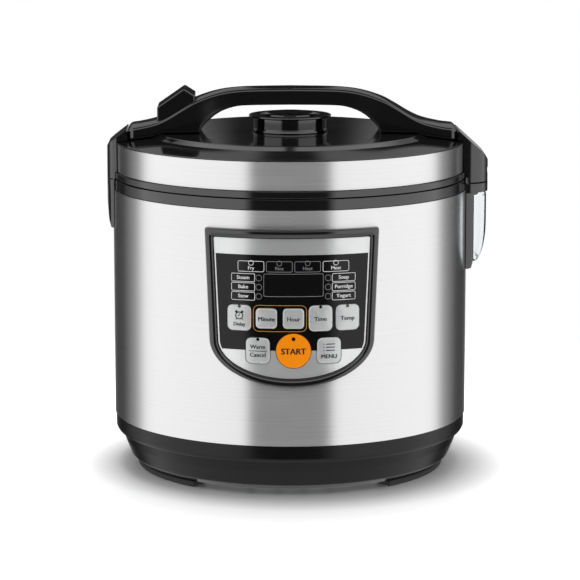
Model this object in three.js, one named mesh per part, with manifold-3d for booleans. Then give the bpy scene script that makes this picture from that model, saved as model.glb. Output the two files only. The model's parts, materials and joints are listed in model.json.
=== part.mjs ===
// A countertop yogurt maker / multicooker: a steel-sleeved heated body with a front control panel,
// an inner pot, a side-hinged lid with an arch handle, a steam vent and a latch, and a drip cup.
//
// Millimetres, +Z up. The geometry is drawn about the body's vertical axis with the feet on z = 0,
// the control panel towards -Y, the latch on -X and the hinge on +X. The whole group is then moved
// along X so that the origin lies under the middle of the footprint.

import * as THREE from "three";
import { mergeVertices } from "three/addons/utils/BufferGeometryUtils.js";
import Module from "manifold-3d";

const wasm = await Module();
wasm.setup();

// ---------------------------------------------------------------------------------------------
// Driving dimensions
// ---------------------------------------------------------------------------------------------

const GAP = 0.3; // assembly gap between touching parts
const FACETS = 48; // facets of the large rings
const SMALL_FACETS = 24; // facets of parts inside the body and on the lid

const SLEEVE_R = 123;
const SLEEVE_T = 0.8;
const SLEEVE_LOW = 37;
const SLEEVE_TOP = 194.7;
const COLLAR_R = 122.6;
const COLLAR_TOP = 202.1;

const LID_LOW = 202.7;
const LID_RIM_TOP = 207.2;
const LID_BAND_R = 121;
const LID_BAND_TOP = 226.6;
const LID_SHOULDER_R = 97; // inner end of the sloping shoulder
const LID_SHOULDER_Z = 231;
const LID_DISC_R = 90;
const LID_DISC_Z = 233.5;
const LID_WALL = 2.5;

const HANDLE_TOP = 264.5;
const HANDLE_END_LATCH = -112.5;
const HANDLE_END_HINGE = 115.5;
const HOUSING_HALF = 21.5; // half width of the latch and hinge housings, front to back

const LATCH_REACH = 127; // outermost point on the latch side
const HINGE_REACH = 137.7; // outermost point on the hinge side
const HINGE_X = 134.5;
const HINGE_Z = 204.5;
const PIN_R = 1.2;
const BORE_R = 1.25;
const HINGE_LOW = 199.5; // lower edge of the hinge cover

const POT_R = 102;
const POT_RIM_R = 109;
const POT_LOW = 54.6;
const POT_RIM_Z = 198.8;

const PANEL_R = 126.4; // radius of the bezel's front
const FACE_R = 124; // radius of the panel face
const LAYOUT_X = 0.9; // the keys are set a little to the hinge side of the bezel's middle

const BUTTON_R = 125.2; // radius of the key tops
const BUTTON_PITCH = 17.85;
const BUTTON_ROW_Z = 123.5;
const LOWER_ROW_Z = 101.8;
const LOWER_ROW_OFFSET = 23.5;
const LARGE_BUTTON = { width: 16.5, height: 18 };
const SMALL_BUTTON = { width: 14.8, height: 14.2 };
const START_R = 12.1;
const DISPLAY = { x: LAYOUT_X, z: 145.7, width: 38.8, height: 14.7 };

const CATCH_X = -114.2; // pivot of the latch hook
const CATCH_Z = 216;
const STEM_X = -88.5; // push rod under the release button

const VENT_R = 25.2;
const VENT_NECK_R = 21.8;

// ---------------------------------------------------------------------------------------------
// Shape helpers
// ---------------------------------------------------------------------------------------------

// A closed three.js geometry as a solid that can be joined and cut.
function toSolid(geometry) {
  const bare = new THREE.BufferGeometry();
  bare.setAttribute("position", geometry.getAttribute("position"));
  bare.setIndex(geometry.index);
  const merged = mergeVertices(bare, 1e-4);
  const corners = merged.index.array;
  const kept = [];
  for (let i = 0; i < corners.length; i += 3) {
    const [a, b, c] = corners.slice(i, i + 3);
    if (a !== b && b !== c && c !== a) kept.push(a, b, c);
  }
  const vertProperties = new Float32Array(merged.getAttribute("position").array);
  return new wasm.Manifold(new wasm.Mesh({ numProp: 3, vertProperties, triVerts: new Uint32Array(kept) }));
}

function toGeometry(solid) {
  const mesh = solid.getMesh();
  const geometry = new THREE.BufferGeometry();
  geometry.setAttribute("position", new THREE.BufferAttribute(mesh.vertProperties, 3));
  geometry.setIndex(new THREE.BufferAttribute(mesh.triVerts, 1));
  return geometry;
}

function cut(geometry, ...tools) {
  return toGeometry(tools.reduce((left, tool) => left.subtract(toSolid(tool)), toSolid(geometry)));
}

function join(geometry, ...others) {
  return toGeometry(others.reduce((sum, other) => sum.add(toSolid(other)), toSolid(geometry)));
}

function common(geometry, other) {
  return toGeometry(toSolid(geometry).intersect(toSolid(other)));
}

// A body of revolution about Z. The profile is [radius, z] pairs, anticlockwise with the axis on
// the left; it starts and ends on the axis, or closes on itself.
function turned(profile, facets = FACETS) {
  const points = profile.map(([radius, z]) => new THREE.Vector2(radius, z));
  if (profile[0][0] > 0) points.push(points[0].clone());
  return new THREE.LatheGeometry(points, facets).rotateX(Math.PI / 2);
}

function ring(inner, outer, low, high, facets = FACETS) {
  return turned([[inner, low], [outer, low], [outer, high], [inner, high]], facets);
}

function disc(radius, low, high, facets = FACETS) {
  return turned([[0, low], [radius, low], [radius, high], [0, high]], facets);
}

function block(x0, x1, y0, y1, z0, z1) {
  const geometry = new THREE.BoxGeometry(x1 - x0, y1 - y0, z1 - z0);
  return geometry.translate((x0 + x1) / 2, (y0 + y1) / 2, (z0 + z1) / 2);
}

function rodZ(radius, x, y, z0, z1, facets = 16) {
  const geometry = new THREE.CylinderGeometry(radius, radius, z1 - z0, facets);
  return geometry.rotateX(Math.PI / 2).translate(x, y, (z0 + z1) / 2);
}

function rodY(radius, x, z, y0, y1, facets = 16) {
  return new THREE.CylinderGeometry(radius, radius, y1 - y0, facets).translate(x, (y0 + y1) / 2, z);
}

function outline(points) {
  return new THREE.Shape(points.map(([u, v]) => new THREE.Vector2(u, v)));
}

// An outline in the X-Z plane, swept along Y from y0 to y1.
function alongY(shape, y0, y1, curveSegments = 8) {
  const geometry = new THREE.ExtrudeGeometry(shape, { depth: y1 - y0, bevelEnabled: false, curveSegments });
  return geometry.rotateX(Math.PI / 2).translate(0, y1, 0);
}

// An outline in the X-Y plane, swept along Z from z0 to z1.
function alongZ(shape, z0, z1, curveSegments = 8) {
  const geometry = new THREE.ExtrudeGeometry(shape, { depth: z1 - z0, bevelEnabled: false, curveSegments });
  return geometry.translate(0, 0, z0);
}

function roundedRectangle(x, z, width, height, radius) {
  const [left, right, low, high] = [x - width / 2, x + width / 2, z - height / 2, z + height / 2];
  const shape = new THREE.Shape();
  shape.moveTo(left + radius, low);
  shape.lineTo(right - radius, low);
  shape.absarc(right - radius, low + radius, radius, -Math.PI / 2, 0);
  shape.lineTo(right, high - radius);
  shape.absarc(right - radius, high - radius, radius, 0, Math.PI / 2);
  shape.lineTo(left + radius, high);
  shape.absarc(left + radius, high - radius, radius, Math.PI / 2, Math.PI);
  shape.lineTo(left, low + radius);
  shape.absarc(left + radius, low + radius, radius, Math.PI, Math.PI * 1.5);
  return shape;
}

// A coil spring about the vertical line through x, y.
function coil(x, y, radius, wireRadius, low, high, turns) {
  class Helix extends THREE.Curve {
    getPoint(t) {
      const angle = t * turns * 2 * Math.PI;
      const z = low + wireRadius + t * (high - low - 2 * wireRadius);
      return new THREE.Vector3(x + radius * Math.cos(angle), y + radius * Math.sin(angle), z);
    }
  }
  const wire = new THREE.Shape();
  wire.absarc(0, 0, wireRadius, 0, 2 * Math.PI);
  const steps = turns * 8;
  const settings = { steps, curveSegments: 2, extrudePath: new Helix(), bevelEnabled: false };
  return new THREE.ExtrudeGeometry(wire, settings);
}

// The space between two radii of the body, as a cutter for parts that follow its curve.
function shell(inner, outer) {
  return ring(inner, outer, 60, 200);
}

// A patch of the panel: an X-Z outline on the front, cut to the body's curve.
function frontPatch(shape, inner, outer) {
  return common(alongY(shape, -140, -90), shell(inner, outer));
}

// ---------------------------------------------------------------------------------------------
// Materials and the assembly
// ---------------------------------------------------------------------------------------------

function finish(color, roughness, metalness) {
  return { color, roughness, metalness };
}

const STEEL = finish(0xc8c9cb, 0.32, 1);
const BLACK_GLOSS = finish(0x0c0c0d, 0.12, 0);
const BLACK_SATIN = finish(0x18181a, 0.4, 0);
const SILVER = finish(0xb5b6b8, 0.35, 0.3);
const ORANGE = finish(0xf7890b, 0.35, 0);
const CLEAR = finish(0xe6ebee, 0.08, 0);
const SMOKED = finish(0x08090a, 0.06, 0);
const ALUMINIUM = finish(0xbfc1c4, 0.45, 1);
const GALVANISED = finish(0x9fa3a6, 0.5, 1);
const COATED = finish(0x3a3b3e, 0.5, 0.2);
const SILICONE = finish(0xd9d9d6, 0.6, 0);
const RUBBER = finish(0x1d1d1d, 0.85, 0);
const BOARD = finish(0x1f5a37, 0.5, 0);
const BRASS = finish(0xc9a24a, 0.35, 1);
const SPRING_STEEL = finish(0x8f9296, 0.3, 1);
const WIRE = finish(0x9c1f1f, 0.5, 0);
const LINER = finish(0xd5d6d3, 0.5, 0);

const cooker = new THREE.Group();
cooker.position.x = (LATCH_REACH - HINGE_REACH) / 2;

function add(name, geometry, look) {
  const mesh = new THREE.Mesh(geometry, new THREE.MeshStandardMaterial(look));
  mesh.name = name;
  cooker.add(mesh);
}

// ---------------------------------------------------------------------------------------------
// Panel outline
// ---------------------------------------------------------------------------------------------

// A shield: straight top with small corners, sides that taper downwards, and an elliptical foot.
function panelOutline(inset) {
  const top = 182.5 - inset;
  const waist = 108;
  const topHalf = 57.7 - inset;
  const waistHalf = 54.8 - inset;
  const depth = 31 - inset;
  const corner = Math.max(3 - inset / 3, 1);
  const shape = new THREE.Shape();
  shape.moveTo(-topHalf + corner, top);
  shape.quadraticCurveTo(-topHalf, top, -topHalf, top - corner);
  shape.lineTo(-waistHalf, waist);
  shape.absellipse(0, waist, waistHalf, depth, Math.PI, 2 * Math.PI, false);
  shape.lineTo(topHalf, top - corner);
  shape.quadraticCurveTo(topHalf, top, topHalf - corner, top);
  return shape;
}

const PANEL_BORDER = 5.8;
const PANEL_CURVE = 10; // facets of the shield's elliptical foot

function panelSolid(inset, inner, outer) {
  return common(alongY(panelOutline(inset), -140, -90, PANEL_CURVE), shell(inner, outer));
}

// ---------------------------------------------------------------------------------------------
// Body: base, sleeve, collar
// ---------------------------------------------------------------------------------------------

const FLANGE_LOW = 6.3; // underside of the base ring
const BASE_R = 121.5;
const BASE_STEP_Z = 25;

const baseRing = turned([
  [98, FLANGE_LOW],
  [106, FLANGE_LOW],
  [111, 9.5],
  [115, 19],
  [116.5, BASE_STEP_Z],
  [BASE_R, BASE_STEP_Z],
  [BASE_R, SLEEVE_LOW + 7],
  [BASE_R - 2.5, SLEEVE_LOW + 7],
  [BASE_R - 2.5, BASE_STEP_Z + 2.5],
  [114, BASE_STEP_Z + 2.5],
  [107.5, 10.2],
  [98, 10.2],
]);

const SCREW_RING_R = 101;
const SCREW_ANGLES = [0, 90, 180, 270];

function onRing(radius, degrees) {
  const angle = THREE.MathUtils.degToRad(degrees);
  return [radius * Math.sin(angle), -radius * Math.cos(angle)];
}

const PLATE_LOW = 10.5;
const PLATE_TOP = 12.5;

function screwHoles(radius, low, high) {
  return SCREW_ANGLES.map((degrees) => rodZ(radius, ...onRing(SCREW_RING_R, degrees), low, high, 12));
}

add("base_ring", cut(baseRing, ...screwHoles(1.9, 5, 11)), BLACK_SATIN);

function coolingSlots() {
  const slots = [];
  for (let i = 0; i < 4; i += 1) {
    const x = (i - 1.5) * 18;
    slots.push(block(x - 2, x + 2, 30, 70, PLATE_LOW - 1, PLATE_TOP + 1));
    slots.push(block(x - 2, x + 2, -70, -30, PLATE_LOW - 1, PLATE_TOP + 1));
  }
  return slots;
}

const basePlate = disc(105, PLATE_LOW, PLATE_TOP);
add("base_plate", cut(basePlate, ...screwHoles(1.9, 9, 14), ...coolingSlots()), GALVANISED);

SCREW_ANGLES.forEach((degrees, index) => {
  const [x, y] = onRing(SCREW_RING_R, degrees);
  const screw = join(rodZ(1.6, x, y, 5, 16, 12), rodZ(3, x, y, 4, FLANGE_LOW - GAP, 12));
  add(`base_screw_${index + 1}`, screw, SPRING_STEEL);
});

const FOOT_INNER = 94;
const FOOT_OUTER = 106;

// A foot is an arc under the base ring; angles are measured from the front, round by the right.
function foot(from, to) {
  const start = THREE.MathUtils.degToRad(from - 90);
  const end = THREE.MathUtils.degToRad(to - 90);
  const shape = new THREE.Shape();
  shape.absarc(0, 0, FOOT_OUTER, start, end, false);
  shape.absarc(0, 0, FOOT_INNER, end, start, true);
  return alongZ(shape, 0, FLANGE_LOW - GAP, 8);
}

add("foot_front_right", foot(38, 84), RUBBER);
add("foot_rear_right", foot(96, 142), RUBBER);
add("foot_rear_left", foot(218, 264), RUBBER);
add("foot_front_left", foot(276, 322), RUBBER);

const INLET_Z = 61; // power inlet, at the rear
const sleeveOpening = alongY(panelOutline(1.6), -140, -90, PANEL_CURVE);
const sleeve = ring(SLEEVE_R - SLEEVE_T, SLEEVE_R, SLEEVE_LOW, SLEEVE_TOP);
add("body_sleeve", cut(sleeve, sleeveOpening, block(-14, 14, 110, 130, INLET_Z - 11, INLET_Z + 11)), STEEL);

const SKIRT_R = SLEEVE_R - SLEEVE_T - GAP;
const SKIRT_IN = 119.5;
const POT_SEAT_R = 110;
const POT_SEAT_Z = 198.5;
const DECK_IN = 106.2;

const collar = turned([
  [SKIRT_IN, 184],
  [SKIRT_R, 184],
  [SKIRT_R, SLEEVE_TOP + GAP],
  [COLLAR_R, SLEEVE_TOP + GAP],
  [COLLAR_R, COLLAR_TOP],
  [POT_SEAT_R, COLLAR_TOP],
  [POT_SEAT_R, POT_SEAT_Z],
  [DECK_IN, POT_SEAT_Z],
  [DECK_IN, POT_SEAT_Z - 3],
  [SKIRT_IN, POT_SEAT_Z - 3],
]);
// The latch hook reaches down through a slot; the slot's inner edge is the striker.
const STRIKER_X = -110.6;
add("top_collar", cut(collar, block(-119.3, STRIKER_X, -7, 7, 190, 204)), BLACK_GLOSS);

// ---------------------------------------------------------------------------------------------
// Inside the body: heat shield, heating plate, thermostat, pot
// ---------------------------------------------------------------------------------------------

const CASING_FLOOR = 40;
const casing = turned([
  [30, CASING_FLOOR],
  [106.8, CASING_FLOOR],
  [106.8, 192],
  [106, 192],
  [106, CASING_FLOOR + 0.8],
  [30, CASING_FLOOR + 0.8],
], SMALL_FACETS);
add("inner_casing", casing, GALVANISED);

const PLATE_BOTTOM = 46;
const heater = turned([
  [19, PLATE_BOTTOM],
  [76, PLATE_BOTTOM],
  [80, 49],
  [80, 52],
  [68, POT_LOW - GAP],
  [19, POT_LOW - GAP],
], SMALL_FACETS);
const heaterLegs = [30, 150, 270].map((degrees) => {
  return rodZ(4, ...onRing(60, degrees), CASING_FLOOR + 0.8 + GAP, PLATE_BOTTOM + 1, 12);
});
add("heating_plate", join(heater, ...heaterLegs), ALUMINIUM);

const SENSOR_POST_TOP = 49.5;
const sensorHousing = turned([
  [9, 37],
  [34, 37],
  [34, CASING_FLOOR - GAP],
  [13, CASING_FLOOR - GAP],
  [13, SENSOR_POST_TOP],
  [9, SENSOR_POST_TOP],
], SMALL_FACETS);
add("sensor_housing", sensorHousing, GALVANISED);

const sensorCap = turned([
  [16.3, 44],
  [17.5, 44],
  [17.5, POT_LOW - GAP],
  [0, POT_LOW - GAP],
  [0, 53.1],
  [16.3, 53.1],
], SMALL_FACETS);
add("sensor_cap", sensorCap, ALUMINIUM);
add("sensor_spring", coil(0, 0, 14.7, 0.6, CASING_FLOOR, 52.8, 4), SPRING_STEEL);

const pot = turned([
  [0, POT_LOW],
  [70, POT_LOW],
  [92, 58],
  [101, 70],
  [POT_R, 80],
  [POT_R, POT_RIM_Z],
  [POT_RIM_R, POT_RIM_Z],
  [POT_RIM_R, POT_RIM_Z + 1.8],
  [POT_R - 1.8, POT_RIM_Z + 1.8],
  [POT_R - 1.8, 80.3],
  [99.3, 71],
  [91, 59.9],
  [70, 56.6],
  [0, 56.6],
], SMALL_FACETS);
add("inner_pot", pot, COATED);

// ---------------------------------------------------------------------------------------------
// Electrical parts
// ---------------------------------------------------------------------------------------------

const BOARD_Z = 17;
const powerBoard = join(
  block(-80, -20, 15, 70, BOARD_Z, BOARD_Z + 1.6),
  block(-74, -48, 22, 44, BOARD_Z + 1, BOARD_Z + 18), // transformer
  block(-42, -26, 22, 41, BOARD_Z + 1, BOARD_Z + 15), // relay
  rodZ(5, -68, 58, BOARD_Z + 1, BOARD_Z + 15, 12), // reservoir capacitor
  rodZ(4, -54, 60, BOARD_Z + 1, BOARD_Z + 12, 12),
  rodZ(2, -74, 20, PLATE_TOP + GAP, BOARD_Z + 1, 8), // standoffs
  rodZ(2, -26, 20, PLATE_TOP + GAP, BOARD_Z + 1, 8),
  rodZ(2, -26, 64, PLATE_TOP + GAP, BOARD_Z + 1, 8),
);
add("power_board", powerBoard, BOARD);

const INLET_BACK = 108.5;
const inlet = cut(
  join(
    cut(block(-17, 17, 119, PANEL_R, INLET_Z - 14, INLET_Z + 14), disc(SLEEVE_R + GAP, 0, 120)),
    block(-13.5, 13.5, INLET_BACK, 124, INLET_Z - 10, INLET_Z + 10),
  ),
  block(-11.5, 11.5, INLET_BACK + 2.5, 130, INLET_Z - 8, INLET_Z + 8),
);
const INLET_PINS = { live: [-7, -1.5], neutral: [7, -1.5], earth: [0, 3] };
const pinHoles = Object.values(INLET_PINS).map(([x, z]) => {
  return block(x - 1.3, x + 1.3, INLET_BACK - 2, INLET_BACK + 4, INLET_Z + z - 2.3, INLET_Z + z + 2.3);
});
add("power_inlet", cut(inlet, ...pinHoles), BLACK_SATIN);
for (const [wire, [x, z]] of Object.entries(INLET_PINS)) {
  const pin = block(x - 1, x + 1, INLET_BACK - 1, PANEL_R - 1.5, INLET_Z + z - 2, INLET_Z + z + 2);
  add(`inlet_pin_${wire}`, pin, BRASS);
}

// ---------------------------------------------------------------------------------------------
// Control panel
// ---------------------------------------------------------------------------------------------

const BOARD_FRONT = -110.6;
const BOARD_BACK = -109;
const FACE_IN = 121.5;
const BUTTON_IN = 122;
const BUTTON_TRAVEL = 1;
const KEY_GAP = 0.35;

const bezelFront = cut(
  panelSolid(0, SLEEVE_R + GAP, PANEL_R),
  panelSolid(PANEL_BORDER, SLEEVE_R - 5, PANEL_R + 5),
);
const bezelSpigot = cut(
  panelSolid(2, FACE_IN - 2.5, SLEEVE_R + 1),
  panelSolid(PANEL_BORDER, FACE_IN - 5, SLEEVE_R + 5),
);
add("panel_bezel", join(bezelFront, bezelSpigot), BLACK_GLOSS);

const BUTTONS = [
  { name: "button_reservation", column: -2, shape: LARGE_BUTTON },
  { name: "button_minute", column: -1, shape: SMALL_BUTTON },
  { name: "button_hour", column: 0, shape: SMALL_BUTTON },
  { name: "button_time", column: 1, shape: LARGE_BUTTON },
  { name: "button_temp", column: 2, shape: LARGE_BUTTON },
];

function keyOutline(x, z, { width, height }, margin) {
  return roundedRectangle(x, z, width + 2 * margin, height + 2 * margin, 3.2 + margin);
}

function startOutline(margin) {
  const shape = new THREE.Shape();
  shape.absarc(LAYOUT_X, LOWER_ROW_Z, START_R + margin, 0, 2 * Math.PI);
  return shape;
}

// A key: its name, place and look, its outline with a margin round it, and the facets of its curves.
function squareKey(name, x, z, shape) {
  return { name, x, z, look: SILVER, corners: 2, sketch: (margin) => keyOutline(x, z, shape, margin) };
}

const KEYS = [
  ...BUTTONS.map(({ name, column, shape }) => {
    return squareKey(name, LAYOUT_X + column * BUTTON_PITCH, BUTTON_ROW_Z, shape);
  }),
  squareKey("button_warm_cancel", LAYOUT_X - LOWER_ROW_OFFSET, LOWER_ROW_Z, LARGE_BUTTON),
  squareKey("button_menu", LAYOUT_X + LOWER_ROW_OFFSET, LOWER_ROW_Z, LARGE_BUTTON),
  { name: "button_start", x: LAYOUT_X, z: LOWER_ROW_Z, look: ORANGE, corners: 9, sketch: startOutline },
];

function displayOutline(margin) {
  const { x, z, width, height } = DISPLAY;
  return roundedRectangle(x, z, width + 2 * margin, height + 2 * margin, 0.8 + margin);
}

const faceCutters = KEYS.map(({ sketch, corners }) => alongY(sketch(0), -140, -90, corners));
const panelFace = cut(
  panelSolid(PANEL_BORDER + GAP, FACE_IN, FACE_R),
  ...faceCutters,
  alongY(displayOutline(0), -140, -90, 2),
);
add("panel_face", panelFace, SILVER);
add("display_window", frontPatch(displayOutline(-GAP), FACE_IN + 0.7, FACE_R), SMOKED);
for (const { name, sketch, look, corners } of KEYS) {
  add(name, common(alongY(sketch(-KEY_GAP), -140, -90, corners), shell(BUTTON_IN, BUTTON_R)), look);
}

// A push switch stands on the board behind each key, clear of the key at the end of its travel.
function pushSwitch({ x, z }) {
  const reach = Math.sqrt(BUTTON_IN ** 2 - (Math.abs(x) + 3) ** 2) - BUTTON_TRAVEL - 0.6;
  const body = block(x - 3, x + 3, BOARD_FRONT - 2.5, BOARD_FRONT + 0.5, z - 3, z + 3);
  return join(body, rodY(1.6, x, z, -reach, BOARD_FRONT, 8));
}

const controlBoard = join(block(-42, 42, BOARD_FRONT, BOARD_BACK, 90, 164), ...KEYS.map(pushSwitch));
add("control_board", controlBoard, BOARD);

const displayModule = block(DISPLAY.x - 18, DISPLAY.x + 18, -119.3, BOARD_FRONT - GAP, 139, 152.4);
add("display_module", displayModule, SMOKED);

// The wiring runs from the power board, out through the side of the base and up to the panel.
const loomPath = new THREE.CatmullRomCurve3([
  new THREE.Vector3(-50, 14.5, 24),
  new THREE.Vector3(-50, -20, 26),
  new THREE.Vector3(-44, -70, 28),
  new THREE.Vector3(-38, -98, 33),
  new THREE.Vector3(-34, -109.5, 50),
  new THREE.Vector3(-32, -111.4, 70),
  new THREE.Vector3(-32, -112.6, 88),
]);
const loomSection = new THREE.Shape();
loomSection.absarc(0, 0, 1.6, 0, 2 * Math.PI);
const loom = new THREE.ExtrudeGeometry(loomSection, {
  steps: 18,
  curveSegments: 2,
  extrudePath: loomPath,
  bevelEnabled: false,
});
add("wire_loom", loom, WIRE);

// ---------------------------------------------------------------------------------------------
// Hinge side of the body: bracket, pin, spring, drip cup and its holder
// ---------------------------------------------------------------------------------------------

// A side housing: its side outline swept across the body, with the plan rounding off towards its
// outermost point. The plan is a rectangle that ends in half a superellipse.
const HOUSING_ROOT = 118;
const PLAN_POWER = 2.6;
const PLAN_STEPS = 7;

function housing(side, reach, half = HOUSING_HALF) {
  const sign = Math.sign(reach);
  const length = Math.abs(reach) - HOUSING_ROOT;
  const plan = [[sign * 100, half], [sign * 100, -half]];
  for (let k = -PLAN_STEPS; k <= PLAN_STEPS; k += 1) {
    const angle = (k / PLAN_STEPS) * (Math.PI / 2);
    const across = Math.sign(k) * half * Math.abs(Math.sin(angle)) ** (2 / PLAN_POWER);
    const out = length * Math.max(0, Math.cos(angle)) ** (2 / PLAN_POWER);
    plan.push([sign * (HOUSING_ROOT + out), across]);
  }
  if (sign < 0) plan.reverse();
  return common(alongY(side, -half, half), alongZ(outline(plan), 130, 250));
}

const EAR_R = 2.6;
const EAR_IN = 5;
const EAR_OUT = 8.5;
const BRACKET_TOP = 198.5;
const BRACKET_LOW = 192.3;
const bodyCutter = disc(SLEEVE_R + GAP, 60, 260);

function hingeEar(y0, y1) {
  const neck = block(HINGE_X - 4, HINGE_X + EAR_R, y0, y1, BRACKET_TOP - 2, HINGE_Z);
  return join(neck, rodY(EAR_R, HINGE_X, HINGE_Z, y0, y1));
}

const bracketSide = outline([
  [HOUSING_ROOT, BRACKET_LOW],
  [HINGE_REACH, BRACKET_LOW],
  [HINGE_REACH, BRACKET_TOP],
  [HOUSING_ROOT, BRACKET_TOP],
]);
const bracket = cut(
  join(
    housing(bracketSide, HINGE_REACH),
    hingeEar(-EAR_OUT, -EAR_IN),
    hingeEar(EAR_IN, EAR_OUT),
  ),
  bodyCutter,
  rodY(BORE_R, HINGE_X, HINGE_Z, -10, 10),
  block(126.5, 130.5, -3, 3, BRACKET_LOW - 1, BRACKET_TOP + 1), // drain into the drip cup
);
add("hinge_bracket", bracket, BLACK_GLOSS);

const WEB_IN = 9.6; // the lid's webs, outside the ears
const WEB_OUT = 10.9;
add("hinge_pin", rodY(PIN_R, HINGE_X, HINGE_Z, -WEB_OUT, WEB_OUT), SPRING_STEEL);

// The lid spring is a coil round the pin, drawn upright and then laid along it.
const lidSpring = coil(0, 0, 1.9, 0.45, -4.7, 4.7, 5).rotateX(Math.PI / 2).translate(HINGE_X, 0, HINGE_Z);
add("hinge_spring", lidSpring, SPRING_STEEL);

const CUP_TOP = 190;
const holderShape = outline([
  [118, 140.5],
  [122.5, 139],
  [125.4, 139.5],
  [129.5, 153],
  [131.5, 162],
  [131.5, BRACKET_LOW - GAP],
  [118, BRACKET_LOW - GAP],
]);
const CUP_HALF = 19.2;
const CUP_BACK = 126;
const CUP_REACH = 136.7;
const holder = cut(
  housing(holderShape, HINGE_REACH),
  bodyCutter,
  block(CUP_BACK - GAP, 140, -CUP_HALF - GAP, CUP_HALF + GAP, 143.5, CUP_TOP + GAP),
  block(127, 129.5, -2, 2, CUP_TOP - 2, BRACKET_LOW + 2), // drain from the bracket
);
add("cup_holder", holder, BLACK_GLOSS);

function cupShape(inset) {
  const back = CUP_BACK + inset;
  const shape = new THREE.Shape();
  shape.moveTo(back, CUP_TOP + inset);
  shape.lineTo(back, 144 + inset);
  shape.lineTo(128.6 - inset / 2, 144 + inset);
  shape.quadraticCurveTo(CUP_REACH - 0.3 - inset, 156, CUP_REACH - inset, 172);
  shape.lineTo(CUP_REACH - inset, CUP_TOP + inset);
  return shape;
}
const CUP_WALL = 1.4;
const cup = cut(
  housing(cupShape(0), CUP_REACH, CUP_HALF),
  housing(cupShape(CUP_WALL), CUP_REACH - CUP_WALL, CUP_HALF - CUP_WALL),
);
add("drip_cup", cup, CLEAR);

const keeperShape = outline([
  [-118, 201.8],
  [-LATCH_REACH, 201.8],
  [-LATCH_REACH, 190],
  [-125.4, 174],
  [-123.9, 168],
  [-118, 167],
]);
add("latch_keeper", cut(housing(keeperShape, -LATCH_REACH), bodyCutter), BLACK_GLOSS);

// ---------------------------------------------------------------------------------------------
// Lid
// ---------------------------------------------------------------------------------------------

const RIM_WALL_R = LID_BAND_R - SLEEVE_T - GAP;
const RIM_IN = 112.5;
const RIM_LEDGE = 205.2;
const rim = turned([
  [RIM_IN, LID_LOW],
  [COLLAR_R - GAP, LID_LOW],
  [COLLAR_R - GAP, LID_RIM_TOP],
  [RIM_WALL_R, LID_RIM_TOP],
  [RIM_WALL_R, 222],
  [RIM_WALL_R - LID_WALL, 222],
  [RIM_WALL_R - LID_WALL, RIM_LEDGE],
  [RIM_IN, RIM_LEDGE],
]);
const HOOK_SLOT_HALF = 6.6;
const hookSlot = block(-119, -108, -HOOK_SLOT_HALF, HOOK_SLOT_HALF, 201, RIM_LEDGE + 0.1);
add("lid_rim", cut(rim, hookSlot), BLACK_GLOSS);
add("lid_band", ring(LID_BAND_R - SLEEVE_T, LID_BAND_R, LID_RIM_TOP + GAP, LID_BAND_TOP), STEEL);

const SHOULDER_EDGE_Z = 227.6;
const shoulderLip = RIM_WALL_R - GAP;
const cover = turned([
  [117, 222.4],
  [shoulderLip, 222.4],
  [shoulderLip, LID_BAND_TOP + GAP],
  [LID_BAND_R + 0.2, LID_BAND_TOP + GAP],
  [LID_BAND_R + 0.2, SHOULDER_EDGE_Z],
  [LID_SHOULDER_R, LID_SHOULDER_Z],
  [LID_DISC_R, LID_DISC_Z],
  [VENT_NECK_R + 0.4, LID_DISC_Z],
  [VENT_NECK_R + 0.4, LID_DISC_Z - LID_WALL],
  [LID_DISC_R - 0.9, LID_DISC_Z - LID_WALL],
  [LID_SHOULDER_R - 1, LID_SHOULDER_Z - LID_WALL],
  [117, 225.4],
]);
add("lid_cover", cut(cover, rodZ(2.6, STEM_X, 0, 225, 240)), BLACK_GLOSS);

// The lid's outside, grown by a gap: what stands on the lid is cut to sit on it.
const lidOutside = turned([
  [0, 190],
  [COLLAR_R, 190],
  [COLLAR_R, LID_RIM_TOP + GAP],
  [LID_BAND_R + 0.2 + GAP, LID_RIM_TOP + GAP],
  [LID_BAND_R + 0.2 + GAP, SHOULDER_EDGE_Z + GAP],
  [LID_SHOULDER_R, LID_SHOULDER_Z + GAP],
  [LID_DISC_R, LID_DISC_Z + GAP],
  [0, LID_DISC_Z + GAP],
]);

const LINER_LOW = RIM_LEDGE + GAP;
const LINER_TOP = LINER_LOW + 2;
const EAR_HALF = [5.8, 8.4]; // the hook's pivot ears, front to back

function pivotEar(y0, y1) {
  return cut(
    block(CATCH_X - 2.2, CATCH_X + 2.8, y0, y1, LINER_LOW + 0.5, CATCH_Z + 3),
    rodY(BORE_R, CATCH_X, CATCH_Z, y0 - 1, y1 + 1),
  );
}

const liner = join(
  cut(
    ring(10, 117, LINER_LOW, LINER_TOP),
    block(-118, -108.8, -5.6, 5.6, LINER_LOW - 1, LINER_TOP + 1),
  ),
  pivotEar(-EAR_HALF[1], -EAR_HALF[0]),
  pivotEar(EAR_HALF[0], EAR_HALF[1]),
);
add("lid_liner", liner, LINER);

const INNER_LID_LOW = 203.2;
const steamHoles = [0, 60, 120, 180, 240, 300].map((degrees) => {
  return rodZ(2, ...onRing(24, degrees), 202, 206, 10);
});
const innerLid = cut(ring(8, 103.2, INNER_LID_LOW, INNER_LID_LOW + 1, SMALL_FACETS), ...steamHoles);
add("inner_lid", innerLid, ALUMINIUM);

const GASKET_LOW = POT_RIM_Z + 1.8 + GAP;
const gasket = turned([
  [105.5, GASKET_LOW],
  [108.4, GASKET_LOW],
  [109.4, GASKET_LOW + 1.2],
  [109.4, LINER_LOW - GAP],
  [104.4, LINER_LOW - GAP],
  [104.4, GASKET_LOW + 1.6],
], SMALL_FACETS);
add("lid_gasket", gasket, SILICONE);

// ---------------------------------------------------------------------------------------------
// Steam vent
// ---------------------------------------------------------------------------------------------

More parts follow.
